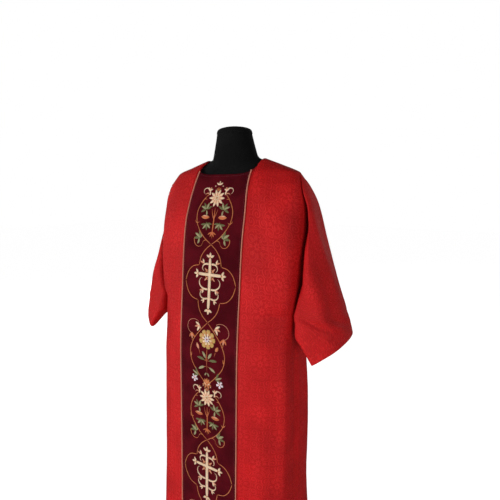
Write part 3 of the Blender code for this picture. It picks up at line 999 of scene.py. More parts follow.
@dataclass
class Orphrey:
    """The velvet band down the middle of the front, with a laid cord along each side.

    twist is the length of one turn of a cord's strands.
    """

    front: FrontMap
    cloth: Cloth
    strands: int = 3
    strand_radius: float = 0.00098
    lay_radius: float = 0.00092
    twist: float = 0.0075
    turn_steps: int = 10
    strand_sides: int = 6
    couch_lift: float = 0.0009

    def skin(self) -> Array:
        """Rows of points on the velvet."""
        return self.front.points + self.front.normals * ORPHREY_SKIN

    def build_band(self, material: Material) -> None:
        """Makes the velvet band.

        Args:
            material: the velvet.
        """
        points = self.skin()
        half = orphrey_half_width(points[:, :, 2])
        share = np.linspace(-1, 1, points.shape[1])
        flat = np.stack((share * half, -np.broadcast_to(self.front.down[:, None], half.shape)), axis=-1)
        self.cloth.make(points, flat, BODY_MIDDLE, material)

    def sewn_lines(self) -> list[Line]:
        """The lines where the band is sewn on: along both sides and the neckline."""
        grids = self.skin(), self.front.normals
        sides = [tuple(grid[:, pair].mean(axis=1) for grid in grids) for pair in ((0, 1), (-1, -2))]
        return [*sides, line_down(*grids, NECK_STITCH)]

    def couched_lines(self) -> list[Line]:
        """The tops of the two cords."""
        lines = [self.cord_line(way) for way in (1, -1)]
        return [(line + out * self.couch_lift, out) for line, out in lines]

    def cord_line(self, way: int) -> Line:
        """Lays the middle of a cord beside the band.

        Args:
            way: 1 or -1, the side along X.

        Returns:
            Points along the cord, a few in each turn of its strands, and the cloth's normals there.
        """
        column = 0 if way < 0 else -1
        line, out = self.front.points[:, column], self.front.normals[:, column]
        lift = CORD_RADIUS + CORD_CLEARANCE
        line = line + out * lift + np.array((way * lift, 0.0, 0.0))
        walk = walked(line)
        where = np.linspace(0, walk[-1], int(walk[-1] / self.twist * self.turn_steps))
        return read_line(line, walk, where), read_line(out, walk, where)

    def build_cord(self, way: int, name: str, replaced: str, material: Material) -> None:
        """Makes a cord of twisted strands along one side of the band.

        Args:
            way: 1 or -1, the side along X.
            name: the piece's name.
            replaced: the node that it stands for.
            material: the cord's finish.
        """
        line, out = self.cord_line(way)
        along = unit(np.gradient(line, axis=0))
        side = unit(np.cross(along, out))
        up = np.cross(side, along)
        turn = TURN * np.arange(len(line)) / self.turn_steps * -way
        around = TURN * np.arange(self.strand_sides) / self.strand_sides
        tubes = []
        for strand in range(self.strands):
            angle = (turn + TURN * strand / self.strands)[:, None]
            middle = line + self.lay_radius * (np.cos(angle) * side + np.sin(angle) * up)
            ring = [middle + self.strand_radius * (math.cos(a) * side + math.sin(a) * up) for a in around]
            tubes.append((np.stack(ring, axis=1), self.twist / self.turn_steps))
        finish_piece(tube_piece(name, tubes), material, "gold_cord", replaced)


def tube_piece(name: str, tubes: Sequence[tuple[Array, float]]) -> Object:
    """Makes a piece of closed tubes, with the run of their threads as a UV map: metres along and share round.

    Args:
        name: the piece's name.
        tubes: for each its rings of points and the length of thread from ring to ring.

    Returns:
        The mesh object.
    """
    faces, flat, base = [], [], 0
    for rings, step in tubes:
        count, sides = rings.shape[:2]
        for i in range(count - 1):
            for j in range(sides):
                k = (j + 1) % sides
                corners = ((i, j, j), (i, k, j + 1), (i + 1, k, j + 1), (i + 1, j, j))
                faces.append(tuple(base + a * sides + b for a, b, _ in corners))
                flat += [(a * step, c / sides) for a, _, c in corners]
        for i, order in ((0, range(sides - 1, -1, -1)), (count - 1, range(sides))):
            faces.append(tuple(base + i * sides + j for j in order))
            flat += [(i * step, j / sides) for j in order]
        base += count * sides
    piece = mesh_piece(name, np.concatenate([rings.reshape(-1, 3) for rings, _ in tubes]), faces)
    paint_flat(piece, "thread", flat)
    shape = bmesh.new()
    shape.from_mesh(piece.data)
    bmesh.ops.recalc_face_normals(shape, faces=shape.faces)
    shape.to_mesh(piece.data)
    shape.free()
    return piece


class Taper(Enum):
    """How the width of a stitched stroke changes along it: power, bluntness of its ends and fullness."""

    EVEN = (0.0, 12, 1.0)
    LEAF = (0.75, 0, 1.0)
    DROP = (0.55, 6, 1.05)
    HORN = (0.80, 30, 1.0)

    def widths(self, along: Array) -> Array:
        """Shares of the full width.

        Args:
            along: places along the stroke, from 0 to 1.

        Returns:
            The share at each place.
        """
        power, blunt, full = self.value
        if self is Taper.LEAF:
            return np.sin(np.pi * along) ** power
        start = {Taper.EVEN: np.abs(2 * along - 1), Taper.DROP: along, Taper.HORN: 1 - along}[self]
        return full * start**power * np.sqrt(1 - start**blunt)


class Tint(Enum):
    """The threads of the embroidery: name, colour, roughness and metallic."""

    CREAM = ("cream", (0.860, 0.620, 0.400), 0.45, 0.0)
    PEACH = ("peach", (0.720, 0.290, 0.150), 0.45, 0.0)
    GOLD = ("gold", (0.600, 0.180, 0.038), 0.40, 0.12)
    OLD_GOLD = ("old_gold", (0.560, 0.330, 0.075), 0.42, 0.10)
    COPPER = ("copper", (0.600, 0.140, 0.024), 0.42, 0.08)
    MOSS = ("moss", (0.110, 0.118, 0.024), 0.50, 0.0)
    SAGE = ("sage", (0.330, 0.305, 0.140), 0.50, 0.0)
    WHITE = ("white", (0.860, 0.720, 0.780), 0.50, 0.0)


EVEN, LEAF, DROP, HORN = Taper
CREAM, PEACH, GOLD, OLD_GOLD, COPPER, MOSS, SAGE, WHITE = Tint
GREENS = (MOSS, SAGE)
SPAN_STEPS = 8
SWEEP_STEPS = 24


def through(*points: Point2) -> Array:
    """A smooth curve through flat places.

    Args:
        points: the places, in millimetres.

    Returns:
        Points along the curve, in metres.
    """
    ends = np.array([points[0], *points, points[-1]]) / PER_METRE
    t = np.arange(SPAN_STEPS)[:, None] / SPAN_STEPS
    spans = [
        0.5 * (2 * b + (c - a) * t + (2 * a - 5 * b + 4 * c - d) * t**2 + (3 * b - a - 3 * c + d) * t**3)
        for a, b, c, d in zip(ends, ends[1:], ends[2:], ends[3:])
    ]
    return np.concatenate((*spans, ends[-1:]))


def sweep(start: Point2, heading: float, length: float, turn: float, end_turn: float | None = None) -> Array:
    """A curve that leaves a place and turns steadily tighter or wider.

    Args:
        start: the flat place, in millimetres.
        heading: degrees from across towards down.
        length: length of the curve, in millimetres.
        turn: degrees that it would turn over its length at its first curvature.
        end_turn: the same at its last curvature.

    Returns:
        Points along the curve, in metres.
    """
    along = np.linspace(0, 1, SWEEP_STEPS + 1)
    end_turn = turn if end_turn is None else end_turn
    angle = np.radians(heading + turn * along + (end_turn - turn) * along**2 / 2)
    middle = (angle[1:] + angle[:-1]) / 2
    steps = np.column_stack((np.cos(middle), np.sin(middle))) * (length / PER_METRE) / SWEEP_STEPS
    first = np.array(start) / PER_METRE
    return np.concatenate(([first], first + np.cumsum(steps, axis=0)))


def stepped(start: Point2, heading: float, length: float) -> Point2:
    """A place at a length and a heading from another."""
    angle = math.radians(heading)
    return start[0] + length * math.cos(angle), start[1] + length * math.sin(angle)


@dataclass
class Embroidery:
    """A stitched vine on the orphrey, with flowers, leaves and a cross in a pointed quatrefoil.

    The motifs' places and sizes are in millimetres: across from the middle line, then down from the top of
    the repeat. The quatrefoil's upper half is turned over about half of turned. Nothing is sewn past last. A
    stroke stands loft over the velvet, or fullness times its width if that is less, and is sunk into the
    pile. It has a ring of points each step, or each even_step where its width is even, but fewest to most of
    them, drawn to its ends unless it is even and has more than crowded.
    """

    front: FrontMap
    repeats: int = 2
    repeat: float = 0.584
    last: float = 1.158
    turned: float = 0.636
    vine: float = 2.3
    loft: float = 0.0012
    fullness: float = 0.42
    sunk: float = 0.0002
    thinnest: float = 0.0002
    sides: int = 6
    step: float = 0.0016
    even_step: float = 0.0025
    fewest: int = 6
    most: int = 160
    crowded: int = 24
    shortest: int = 12
    strokes: dict[Tint, list[Stroke]] = field(default_factory=dict)
    top: float = 0.0

    def sew(self, tint: Tint, path: Array, width: float, taper: Taper = LEAF, lift: float = 0) -> None:
        """Adds one stroke. A line ends before the hem, and a leaf that reaches it goes.

        Args:
            tint: the thread.
            path: points along the stroke, in metres, down from the top of the repeat.
            width: its full width, in millimetres, as every size below.
            taper: how the width changes.
            lift: height above the velvet.
        """
        path = path + (0.0, self.top)
        if path[:, 1].max() > self.last:
            path = path[path[:, 1] < self.last]
            if taper in (LEAF, DROP) or len(path) < self.shortest:
                return
        walk = walked(path)
        step = self.even_step if taper is EVEN else self.step
        count = int(np.clip(walk[-1] / step, self.fewest, self.most))
        where = walk[-1] * (1 - np.cos(np.pi * np.linspace(0, 1, count))) / 2
        if taper is EVEN and count > self.crowded:
            where = np.linspace(0, walk[-1], count)
        widths = np.maximum(width / PER_METRE * taper.widths(where / walk[-1]), self.thinnest)
        self.strokes.setdefault(tint, []).append((read_line(path, walk, where), widths, lift / PER_METRE))

    def both(self, tint: Tint, path: Array, width: float, taper: Taper = LEAF, lift: float = 0) -> None:
        """Adds a stroke on the right and its mirror image on the left."""
        for side in (1, -1):
            self.sew(tint, path * (side, 1), width, taper, lift)

    def curls(self, taper: Taper, *rows: tuple) -> None:
        """Adds strokes that leave a place and turn, on both sides.

        Args:
            taper: how their width changes.
            rows: for each its thread, width, place, heading, length and turns, as sweep takes them.
        """
        for tint, width, *curve in rows:
            self.both(tint, sweep(*curve), width, taper)

    def fan(
        self,
        tints: Sequence[Tint],
        middle: Point2,
        angles: Sequence[float],
        length: float,
        width: float,
        bend: float = 0,
        start: float = 0,
        taper: Taper = LEAF,
        mirrored: bool = True,
        lift: float = 0,
    ) -> None:
        """Adds strokes that spread from a place.

        Args:
            tints: threads, used in turn.
            middle: the place.
            angles: headings in degrees from across towards down.
            length: length of a stroke.
            width: width of a stroke.
            bend: degrees that each turns.
            start: distance from the place at which each starts.
            taper: how the width changes.
            mirrored: whether the mirror image is added.
            lift: height above the velvet.
        """
        sew = self.both if mirrored else self.sew
        for i, angle in enumerate(angles):
            path = sweep(stepped(middle, angle, start), angle - bend / 2, length, bend)
            sew(tints[i % len(tints)], path, width, taper, lift)

    def bloom(
        self,
        tint: Tint,
        middle: Point2,
        petals: int,
        reach: Point2,
        width: float,
        lift: float = 0,
        turn: float = 0,
        taper: Taper = LEAF,
    ) -> None:
        """Adds a ring of petals about a place.

        Args:
            tint: the thread.
            middle: the place.
            petals: number of petals.
            reach: distances from the place at which a petal starts and ends.
            width: width of a petal.
            lift: height above the velvet.
            turn: heading of the first.
            taper: how the width changes.
        """
        angles = [turn + 360 * i / petals for i in range(petals)]
        inner, outer = reach
        self.fan((tint,), middle, angles, outer - inner, width, 0, inner, taper, False, lift)

    def dot(self, tint: Tint, middle: Point2, size: float, lift: float = 0) -> None:
        """Adds a knot."""
        path = np.array(middle) + np.array(((-size / 2, 0), (0, 0), (size / 2, 0)))
        self.sew(tint, path / PER_METRE, size, LEAF, lift)

    def star_flower(self) -> None:
        """The star flower at the head of the repeat, its finial and the volutes beside it."""
        self.fan((CREAM,), (0, 34), (-90, -146, -34), 13, 5.2, mirrored=False)
        for side in (1, -1):
            self.dot(CREAM, (side * 13, 37), 4.2)
        self.fan((GOLD,), (0, 52), (-128, -90, -52), 12, 3, mirrored=False, lift=0.2)
        flower = (0, 73)
        self.bloom(CREAM, flower, 10, (6, 26.5), 8.2)
        self.bloom(PEACH, flower, 10, (5, 17.5), 4, 0.6, turn=18)
        self.bloom(CREAM, flower, 7, (2, 10), 4.6, 1)
        self.dot(GOLD, flower, 5.5, 1.4)
        self.curls(HORN, (CREAM, 5.2, (27, 64), -100, 58, 120, 470))
        self.fan((CREAM, PEACH), (30, 52), (-150, -112, -66), 12.5, 5.2, bend=-30)
        self.curls(HORN, (PEACH, 4.2, (30, 60), -30, 17, 110))

    def upper_vine(self) -> None:
        """The vine about the star flower, with leaves, buds and a middle stem."""
        vine = through((28.5, 61), (44, 78), (57.5, 103), (61, 127), (53, 154), (30, 184), (0, 206))
        self.both(GOLD, vine, self.vine, EVEN)
        self.curls(HORN, (GOLD, 3.4, (56, 148), -20, 14, -60), (GOLD, 3, (42, 76), 190, 10, -40))
        self.curls(HORN, (GOLD, 2.8, (56, 148), 200, 9, 50))
        self.sew(COPPER, through((0, 99), (1.2, 140), (0, 192)), 3.6)
        self.curls(HORN, (COPPER, 3, (0, 133), -60, 34, -25))
        self.fan((COPPER,), (0, 170), (66, 30), 17, 4)
        self.fan(GREENS, (30, 106), (-152, -108, -60, -22, 28), 20.5, 6.8, bend=18)
        self.curls(LEAF, (SAGE, 5.8, (29, 109), 112, 17, -30), (COPPER, 12.5, (15, 129), 0, 29, 0))
        self.both(PEACH, sweep((18, 126.5), -8, 22.5, 16), 5, lift=0.8)
        self.both(CREAM, sweep((27, 125), 0, 11, 0), 2.2, lift=1.4)
        self.fan(GREENS, (23, 148), (176, 138, 96, 52, 8), 19.5, 6.2, bend=-22)
        self.curls(LEAF, (MOSS, 3, (23, 142), 90, 10, 0))
        self.fan((*GREENS, MOSS), (40, 190), (-74, -34, 6), 23.5, 7.8, bend=34)
        self.curls(LEAF, (SAGE, 6.8, (44, 190), 96, 18, -46), (SAGE, 4.6, (40, 189), -140, 14, 60))
        self.curls(HORN, (GOLD, 2.8, (61, 189), 76, 66, 150, 330), (GOLD, 2.6, (16, 195), -20, 25, 130))

    def quatrefoil(self) -> None:
        """The pointed quatrefoil: a lobe and a flank on each side, and the same turned over below."""
        lobe = through((0, 206), (19, 222), (33, 243), (38.5, 267))
        flank = through((38.5, 267), (61, 273), (78, 291), (88, 318))
        for path in (lobe, flank):
            self.both(GOLD, path, self.vine, EVEN)
            self.both(GOLD, path * (1, -1) + (0, self.turned), self.vine, EVEN)

    def cross(self) -> None:
        """A cross with leafed ends, on a staff between lyre scrolls."""
        top, middle, foot, arm = 243, 292, 392, 41
        self.sew(CREAM, through((0, top), (0, 320), (0, foot)), 9.5, EVEN, 0.6)
        self.sew(CREAM, through((-arm, middle), (0, middle), (arm, middle)), 9, EVEN, 0.6)
        for place, angle in (((0, top), -90), ((arm, middle), 0), ((-arm, middle), 180), ((0, foot), 90)):
            angles = (angle - 62, angle, angle + 62)
            self.fan((CREAM,), place, angles, 15, 7, mirrored=False, lift=0.6)
            self.dot(GOLD, place, 5, 1.6)
        turn = np.linspace(0, 1.01 * TURN, 40)
        ring = np.array((0, middle)) + 15 * np.column_stack((np.cos(turn), np.sin(turn)))
        self.sew(GOLD, ring / PER_METRE, 2.4, EVEN, 0.4)
        self.fan((PEACH,), (0, middle), (-45, 45), 18, 5, start=8)
        for down, heading, bend, length in ((334, 8, -60, 60), (262, -10, 60, 40)):
            way = 1 if down > middle else -1
            scroll = sweep((5, down), heading, length, bend, 5 * bend)
            self.both(CREAM, scroll, 6.6, HORN, 0.2)
            angles = (way * 70, way * 24)
            self.fan((CREAM, PEACH), (21, down), angles, 15, 5.6, bend=-way * 30)
        self.both(CREAM, sweep((5, 360), 24, 52, -70, -380), 5.6, HORN, 0.3)
        self.fan((CREAM,), (17, 365), (66, 22), 12, 4.6, bend=-24)

    def lower_vine(self) -> None:
        """The vine about the rose, with peach acanthus, curls and buds."""
        vine = through((0, 430), (25, 456), (49, 487), (61, 521), (54, 556), (29, 589), (5, 612))
        self.both(GOLD, vine, self.vine, EVEN)
        leaf = (CREAM, PEACH, CREAM)
        self.fan(leaf, (27, 444), (-30, 14, 62), 19, 6.8, bend=24)
        self.curls(LEAF, (PEACH, 4.6, (23, 453), -70, 15, 30))
        self.curls(EVEN, (PEACH, 1.4, (29, 433), -36, 92, 150, 300))
        self.fan((COPPER, PEACH), (56, 468), (60, 96, 132), 19, 5.8, bend=20)
        self.curls(HORN, (GOLD, 3, (51, 494), -40, 13, -50), (GOLD, 4, (59, 540), -120, 15, 40))

    def rose(self) -> None:
        """The rose, its stem, and the buds and leaves on the stem."""
        rose = (0, 479)
        self.bloom(OLD_GOLD, rose, 9, (10, 28.5), 18.5, taper=DROP)
        self.bloom(GOLD, rose, 9, (12, 24), 5, 1, turn=20)
        self.bloom(CREAM, rose, 8, (6, 17.5), 8.8, 1.2, turn=10, taper=DROP)
        self.bloom(WHITE, rose, 6, (2, 9.5), 5.6, 1.8)
        self.dot(COPPER, rose, 3.4, 2.4)
        self.sew(COPPER, through((0, 508), (-1, 545), (1, 590)), 2.4, HORN)
        self.sew(GOLD, sweep((30, 510), -60, 17, 0), 10.5)
        self.sew(PEACH, sweep((-29, 513), -124, 19, 20), 9)
        self.curls(HORN, (COPPER, 1.8, (30, 513), 120, 20, -30))
        for tint, start, heading, length in (
            (SAGE, (2, 542), -66, 22.5),
            (MOSS, (2, 544), -18, 28),
            (SAGE, (2, 560), 18, 25),
        ):
            self.both(tint, sweep(stepped(start, heading, 6), heading, length, 20), 8.4)
            self.curls(EVEN, (COPPER, 1.4, start, heading, 8, 0))
        self.curls(LEAF, (SAGE, 4.4, (1, 580), 40, 12, 30))

    def foot(self) -> None:
        """The gold knot at the foot of the repeat, with white blossoms and sprigs."""
        knot = (0, 613)
        rays = (-150, -120, -90, -60, -30, 15, 60, 120, 165)
        self.fan((GOLD,), knot, rays, 17, 6.2, mirrored=False)
        self.dot(COPPER, knot, 7, 1)
        self.fan(GREENS, (30, 592), (-62, -24, 14), 24, 6.4, bend=-24)
        for side in (1, -1):
            blossom = (side * 45, 605)
            self.bloom(WHITE, blossom, 5, (1, 12), 9.2, turn=18, taper=DROP)
            self.dot(GOLD, blossom, 4.6, 1.2)
            self.dot(CREAM, (side * 6.5, 634), 4)
        self.dot(CREAM, (0, 629), 4)

    def build(self) -> None:
        """Sews each repeat and makes one piece for each thread."""
        upper = (self.star_flower, self.upper_vine, self.quatrefoil, self.cross)
        lower = (self.lower_vine, self.rose, self.foot)
        for index in range(self.repeats):
            self.top = index * self.repeat
            for motif in (*upper, *lower):
                motif()
        for tint, strokes in self.strokes.items():
            self.make_piece(tint, strokes)

    def make_piece(self, tint: Tint, strokes: Sequence[Stroke]) -> None:
        """Makes the raised stitching of one thread.

        Args:
            tint: the thread.
            strokes: its strokes.
        """
        turn = np.pi * np.arange(self.sides) / (self.sides - 1)
        tubes = []
        for line, widths, lift in strokes:
            along = unit(np.gradient(line, axis=0))
            side = np.column_stack((-along[:, 1], along[:, 0]))
            places = line[:, None] + side[:, None] * (np.cos(turn)[None, :, None] * widths[:, None, None] / 2)
            loft = np.minimum(self.loft, self.fullness * widths)[:, None] * np.sin(turn)
            above = ORPHREY_SKIN - self.sunk + lift + loft
            rings = self.front.place(places[..., 0], places[..., 1], above)
            tubes.append((rings, float(walked(line)[-1] / (len(line) - 1))))
        label, colour, roughness, metallic = tint.value
        thread = Thread(f"{label} thread", colour, roughness, metallic).build()
        finish_piece(tube_piece(f"embroidery_{label}", tubes), thread, "gold_cord")


# ---- Nodes ----


NUMBER = "NodeSocketFloat"
VECTOR = "NodeSocketVector"
SHAPE = "NodeSocketGeometry"


class Nodes:
    """Adds nodes to a tree and links them."""

    def __init__(self, tree: NodeTree) -> None:
        """Keeps the tree."""
        self.tree = tree

    def feed(self, socket: NodeSocket, value: object) -> None:
        """Sets an input socket to a value, or links it to the output socket that feeds it.

        Args:
            socket: the input.
            value: a value or an output socket.
        """
        if isinstance(value, NodeSocket):
            self.tree.links.new(value, socket)
        else:
            socket.default_value = value

    def add(self, kind: str, inputs: dict[str | int, object] | None = None, **settings: object) -> Node:
        """Adds a node.

        Args:
            kind: the node's type.
            inputs: for each input socket, a value or the output socket that feeds it.
            settings: the node's own properties.

        Returns:
            The node.
        """
        node = self.tree.nodes.new(kind)
        for name, value in settings.items():
            setattr(node, name, value)
        for socket, value in (inputs or {}).items():
            self.feed(node.inputs[socket], value)
        return node

    def maths(self, operation: str, *values: object) -> NodeSocket:
        """Adds a Math node and returns its value."""
        return self.add("ShaderNodeMath", dict(enumerate(values)), operation=operation).outputs[0]

    def product(self, first: object, second: object) -> NodeSocket:
        """Multiplies two values."""
        return self.maths("MULTIPLY", first, second)

    def between(self, value: object, low: float, high: float) -> NodeSocket:
        """A soft step from 0 at low to 1 at high."""
        places = {"Value": value, "From Min": low, "From Max": high}
        return self.add("ShaderNodeMapRange", places, interpolation_type="SMOOTHSTEP").outputs["Result"]

    def noise(self, place: NodeSocket, scale: object, detail: object) -> NodeSocket:
        """A noise, as a value about 0.5."""
        inputs = {"Vector": place, "Scale": scale, "Detail": detail}
        return self.add("ShaderNodeTexNoise", inputs).outputs[0]


def node_group(
    name: str, inputs: dict[str, tuple[str, object]], outputs: dict[str, str], kind: str = "ShaderNodeTree"
) -> tuple[Nodes, Callable]:
    """Starts a node group.

    Args:
        name: the group's name.
        inputs: for each input its socket type and default.
        outputs: for each output its socket type.
        kind: the type of tree.

    Returns:
        The group's nodes, and a function that gives an input's socket inside the group or feeds an output.
    """
    tree = bpy.data.node_groups.new(name, kind)
    for label, (form, default) in inputs.items():
        socket = tree.interface.new_socket(label, in_out="INPUT", socket_type=form)
        if default is not None:
            socket.default_value = default
    for label, form in outputs.items():
        tree.interface.new_socket(label, in_out="OUTPUT", socket_type=form)
    nodes = Nodes(tree)
    entry = nodes.add("NodeGroupInput")
    leave = nodes.add("NodeGroupOutput")

    def socket(label: str, feed: NodeSocket | None = None) -> NodeSocket:
        """Gives an input's socket, or feeds the output of that name."""
        if feed is None:
            return entry.outputs[label]
        return tree.links.new(feed, leave.inputs[label]).to_socket

    return nodes, socket


# ---- Stitches ----


@dataclass(frozen=True)
class Stitching:
    """Rows of one kind of stitch, whose sizes go into the tree's inputs of the same names.

    across is 0 for stitches along the row and 1 for stitches over it.
    """

    name: str
    slot: str
    spacing: float
    length: float
    width: float
    height: float
    across: float = 0.0
    seed: int = 4

    def guide(self, lines: Sequence[Line]) -> Object:
        """Makes the guide lines.

        Args:
            lines: for each row its points and the cloth's normals there.

        Returns:
            An object of edges whose points hold the normals.
        """
        points, normals = (np.concatenate([line[i] for line in lines]) for i in (0, 1))
        edges, base = [], 0
        for line, _out in lines:
            edges += [(base + i, base + i + 1) for i in range(len(line) - 1)]
            base += len(line)
        mesh = bpy.data.meshes.new(self.name)
        mesh.from_pydata(points.tolist(), edges, [])
        out = mesh.attributes.new("out", "FLOAT_VECTOR", "POINT")
        out.data.foreach_set("vector", np.ascontiguousarray(normals, np.float32).ravel())
        return placed(self.name, mesh)

    def build(self, tree: NodeTree, lines: Sequence[Line], material: Material) -> None:
        """Makes the stitches.

        Args:
            tree: the geometry node tree.
            lines: for each row its points and the cloth's normals there.
            material: the thread.
        """
        piece = self.guide(lines)
        rows = piece.modifiers.new("stitches", "NODES")
        rows.node_group = tree
        values = {label.capitalize(): value for label, value in vars(self).items()} | {"Thread": material}
        for item in tree.interface.items_tree:
            if item.in_out == "INPUT" and item.name in values:
                rows[item.identifier] = values[item.name]
        made = piece.evaluated_get(bpy.context.evaluated_depsgraph_get())
        mesh = bpy.data.meshes.new_from_object(made)
        piece.modifiers.clear()
        piece.data = mesh
        finish_piece(piece, material, self.slot)


# Shares of its size that a stitch may have, at least and at most.
STITCH_RANGE = ((0.92, 0.92, 0.90), (1.08, 1.08, 1.08))
STITCH_BEAD = {"Segments": 7, "Rings": 5, "Radius": 0.5}


def stitch_tree() -> NodeTree:
    """Builds the tree that sets stitches along guide lines whose points hold the cloth's normal as out.

    Returns:
        The tree. Each stitch is a bead with the run of its thread as a UV map, laid along the row or over it
        and turned upright on the cloth.
    """
    sizes = {"Spacing": 0.0060, "Length": 0.0038, "Width": 0.0007, "Height": 0.0006, "Across": 0.0}
    inputs = {
        "Guide": (SHAPE, None),
        **{label: (NUMBER, size) for label, size in sizes.items()},
        "Seed": ("NodeSocketInt", 4),
        "Thread": ("NodeSocketMaterial", None),
    }
    nodes, socket = node_group("row of stitches", inputs, {"Stitches": SHAPE}, "GeometryNodeTree")
    line = nodes.add("GeometryNodeMeshToCurve", {"Mesh": socket("Guide")})
    inputs = {"Curve": line.outputs[0], "Length": socket("Spacing")}
    even = nodes.add("GeometryNodeResampleCurve", inputs, mode="LENGTH")

    along = nodes.add("GeometryNodeInputTangent").outputs[0]
    out = nodes.add("GeometryNodeInputNamedAttribute", {"Name": "out"}, data_type="FLOAT_VECTOR")
    out = out.outputs["Attribute"]
    aside = nodes.add("ShaderNodeVectorMath", {0: along, 1: out}, operation="CROSS_PRODUCT").outputs[0]
    way = nodes.add("ShaderNodeMix", {0: socket("Across"), 4: along, 5: aside}, data_type="VECTOR")
    laid = nodes.add("FunctionNodeAlignRotationToVector", {"Vector": way.outputs[1]}, axis="Z")
    inputs = {"Rotation": laid.outputs[0], "Vector": out}
    laid = nodes.add("FunctionNodeAlignRotationToVector", inputs, axis="X", pivot_axis="Z")

    bead = nodes.add("GeometryNodeMeshUVSphere", STITCH_BEAD)
    flat = nodes.add("ShaderNodeSeparateXYZ", {0: bead.outputs["UV Map"]})
    length = nodes.product(flat.outputs["Y"], socket("Length"))
    girth = nodes.product(flat.outputs["X"], nodes.product(socket("Width"), math.pi))
    run = nodes.add("ShaderNodeCombineXYZ", {0: length, 1: girth}).outputs[0]
    inputs = {"Geometry": bead.outputs["Mesh"], "Name": "thread", "Value": run}
    bead = nodes.add("GeometryNodeStoreNamedAttribute", inputs, data_type="FLOAT2", domain="CORNER")
    size = nodes.add("ShaderNodeCombineXYZ", dict(enumerate(map(socket, ("Height", "Width", "Length")))))
    inputs = {**dict(enumerate(STITCH_RANGE)), "Seed": socket("Seed")}
    uneven = nodes.add("FunctionNodeRandomValue", inputs, data_type="FLOAT_VECTOR")
    inputs = {0: size.outputs[0], 1: uneven.outputs[0]}
    size = nodes.add("ShaderNodeVectorMath", inputs, operation="MULTIPLY")

    inputs = {"Points": even, "Instance": bead, "Rotation": laid, "Scale": size}
    inputs = {label: node.outputs[0] for label, node in inputs.items()}
    shape = nodes.add("GeometryNodeInstanceOnPoints", inputs).outputs[0]
    for kind in ("GeometryNodeRealizeInstances", "GeometryNodeSetShadeSmooth"):
        shape = nodes.add(kind, {0: shape}).outputs[0]
    inputs = {"Geometry": shape, "Material": socket("Thread")}
    socket("Stitches", nodes.add("GeometryNodeSetMaterial", inputs).outputs[0])
    return nodes.tree


# ---- Dress form ----


@dataclass
class DressForm:
    """The limbless form: a padded torso with a knit cover, a cap on its neck, a socket, a pole and a base.

    Points within merge of each other are joined, and triangles paired up to flat and square degrees. Edges
    past sharp degrees keep the crease when the surface is made finer.
    """

    knit_nodes: tuple[str, ...] = ("form_torso", "form_neck_cap")
    metal_nodes: tuple[str, ...] = ("form_socket", "form_pole", "form_base")
    merge: float = 1e-5
    flat: float = 40.0
    square: float = 60.0
    sharp: float = 50.0
    crease: float = 0.85
    levels: int = 2

    def smooth_copy(self, node: str) -> Object:
        """Makes a merged copy of a node's mesh with a smoother surface.

        Args:
            node: the node's name.

        Returns:
            The copy.
        """
        mesh = bpy.data.objects[node].data.copy()
        piece = placed(f"{node}_smooth", mesh)
        shape = bmesh.new()
        shape.from_mesh(mesh)
        bmesh.ops.remove_doubles(shape, verts=shape.verts, dist=self.merge)
        bmesh.ops.join_triangles(
            shape,
            faces=shape.faces,
            angle_face_threshold=math.radians(self.flat),
            angle_shape_threshold=math.radians(self.square),
        )
        crease = shape.edges.layers.float.new("crease_edge")
        for edge in shape.edges:
            if len(edge.link_faces) == 2 and edge.calc_face_angle() > math.radians(self.sharp):
                edge[crease] = self.crease
        shape.to_mesh(mesh)
        shape.free()
        mesh.shade_smooth()
        finer = piece.modifiers.new("smooth", "SUBSURF")
        finer.levels = finer.render_levels = self.levels
        return piece

    def build(self, knit: Material, metal: Material) -> None:
        """Makes the covered pieces, and gives the bare nodes their finish.

        Args:
            knit: the cover.
            metal: the painted metal.
        """
        for node in self.knit_nodes:
            finish_piece(self.smooth_copy(node), knit, "black_cover", node)
        for node in self.metal_nodes:
            piece = bpy.data.objects[node]
            for slot in piece.material_slots:
                slot.material = metal
            if not piece.material_slots:
                piece.data.materials.append(metal)


# ---- Finishes ----


SLUB_SCALE = (160.0, 900.0, 1.0)
PATCH_STEP = (0.3, 0.7)
WHITE_LIGHT = (1.0, 1.0, 1.0)


def threads_group() -> NodeTree:
    """Builds the weave: warp and weft threads that cross, as a height from 0 to 1.

    Returns:
        The group's tree, whose slubs are thin across the cloth and long along it.
    """
    inputs = {"Cloth": (VECTOR, None), "Thread": (NUMBER, 0.0007), "Slub": (NUMBER, 0.4)}
    nodes, socket = node_group("woven threads", inputs, {"Height": NUMBER})
    flat = nodes.add("ShaderNodeSeparateXYZ", {0: socket("Cloth")})
    turn = nodes.maths("DIVIDE", TURN, nodes.product(socket("Thread"), 2.0))
    warp, weft = (nodes.maths("SINE", nodes.product(flat.outputs[axis], turn)) for axis in "XY")
    crossing = nodes.maths("MULTIPLY_ADD", nodes.product(warp, weft), 0.5, 0.5)
    slub_run = {"Vector": socket("Cloth"), "Scale": SLUB_SCALE}
    slub = nodes.noise(nodes.add("ShaderNodeMapping", slub_run).outputs[0], 1.0, 1.0)
    uneven = nodes.product(nodes.maths("SUBTRACT", slub, 0.5), socket("Slub"))
    socket("Height", nodes.maths("ADD", crossing, uneven))
    return nodes.tree


def patches_group() -> NodeTree:
    """Builds soft uneven patches, as a mask from 0 to 1.

    Returns:
        The group's tree.
    """
    inputs = {"Place": (VECTOR, None), "Scale": (NUMBER, 9.0), "Detail": (NUMBER, 3.0)}
    nodes, socket = node_group("soft patches", inputs, {"Patches": NUMBER})
    noise = nodes.noise(socket("Place"), socket("Scale"), socket("Detail"))
    socket("Patches", nodes.between(noise, *PATCH_STEP))
    return nodes.tree


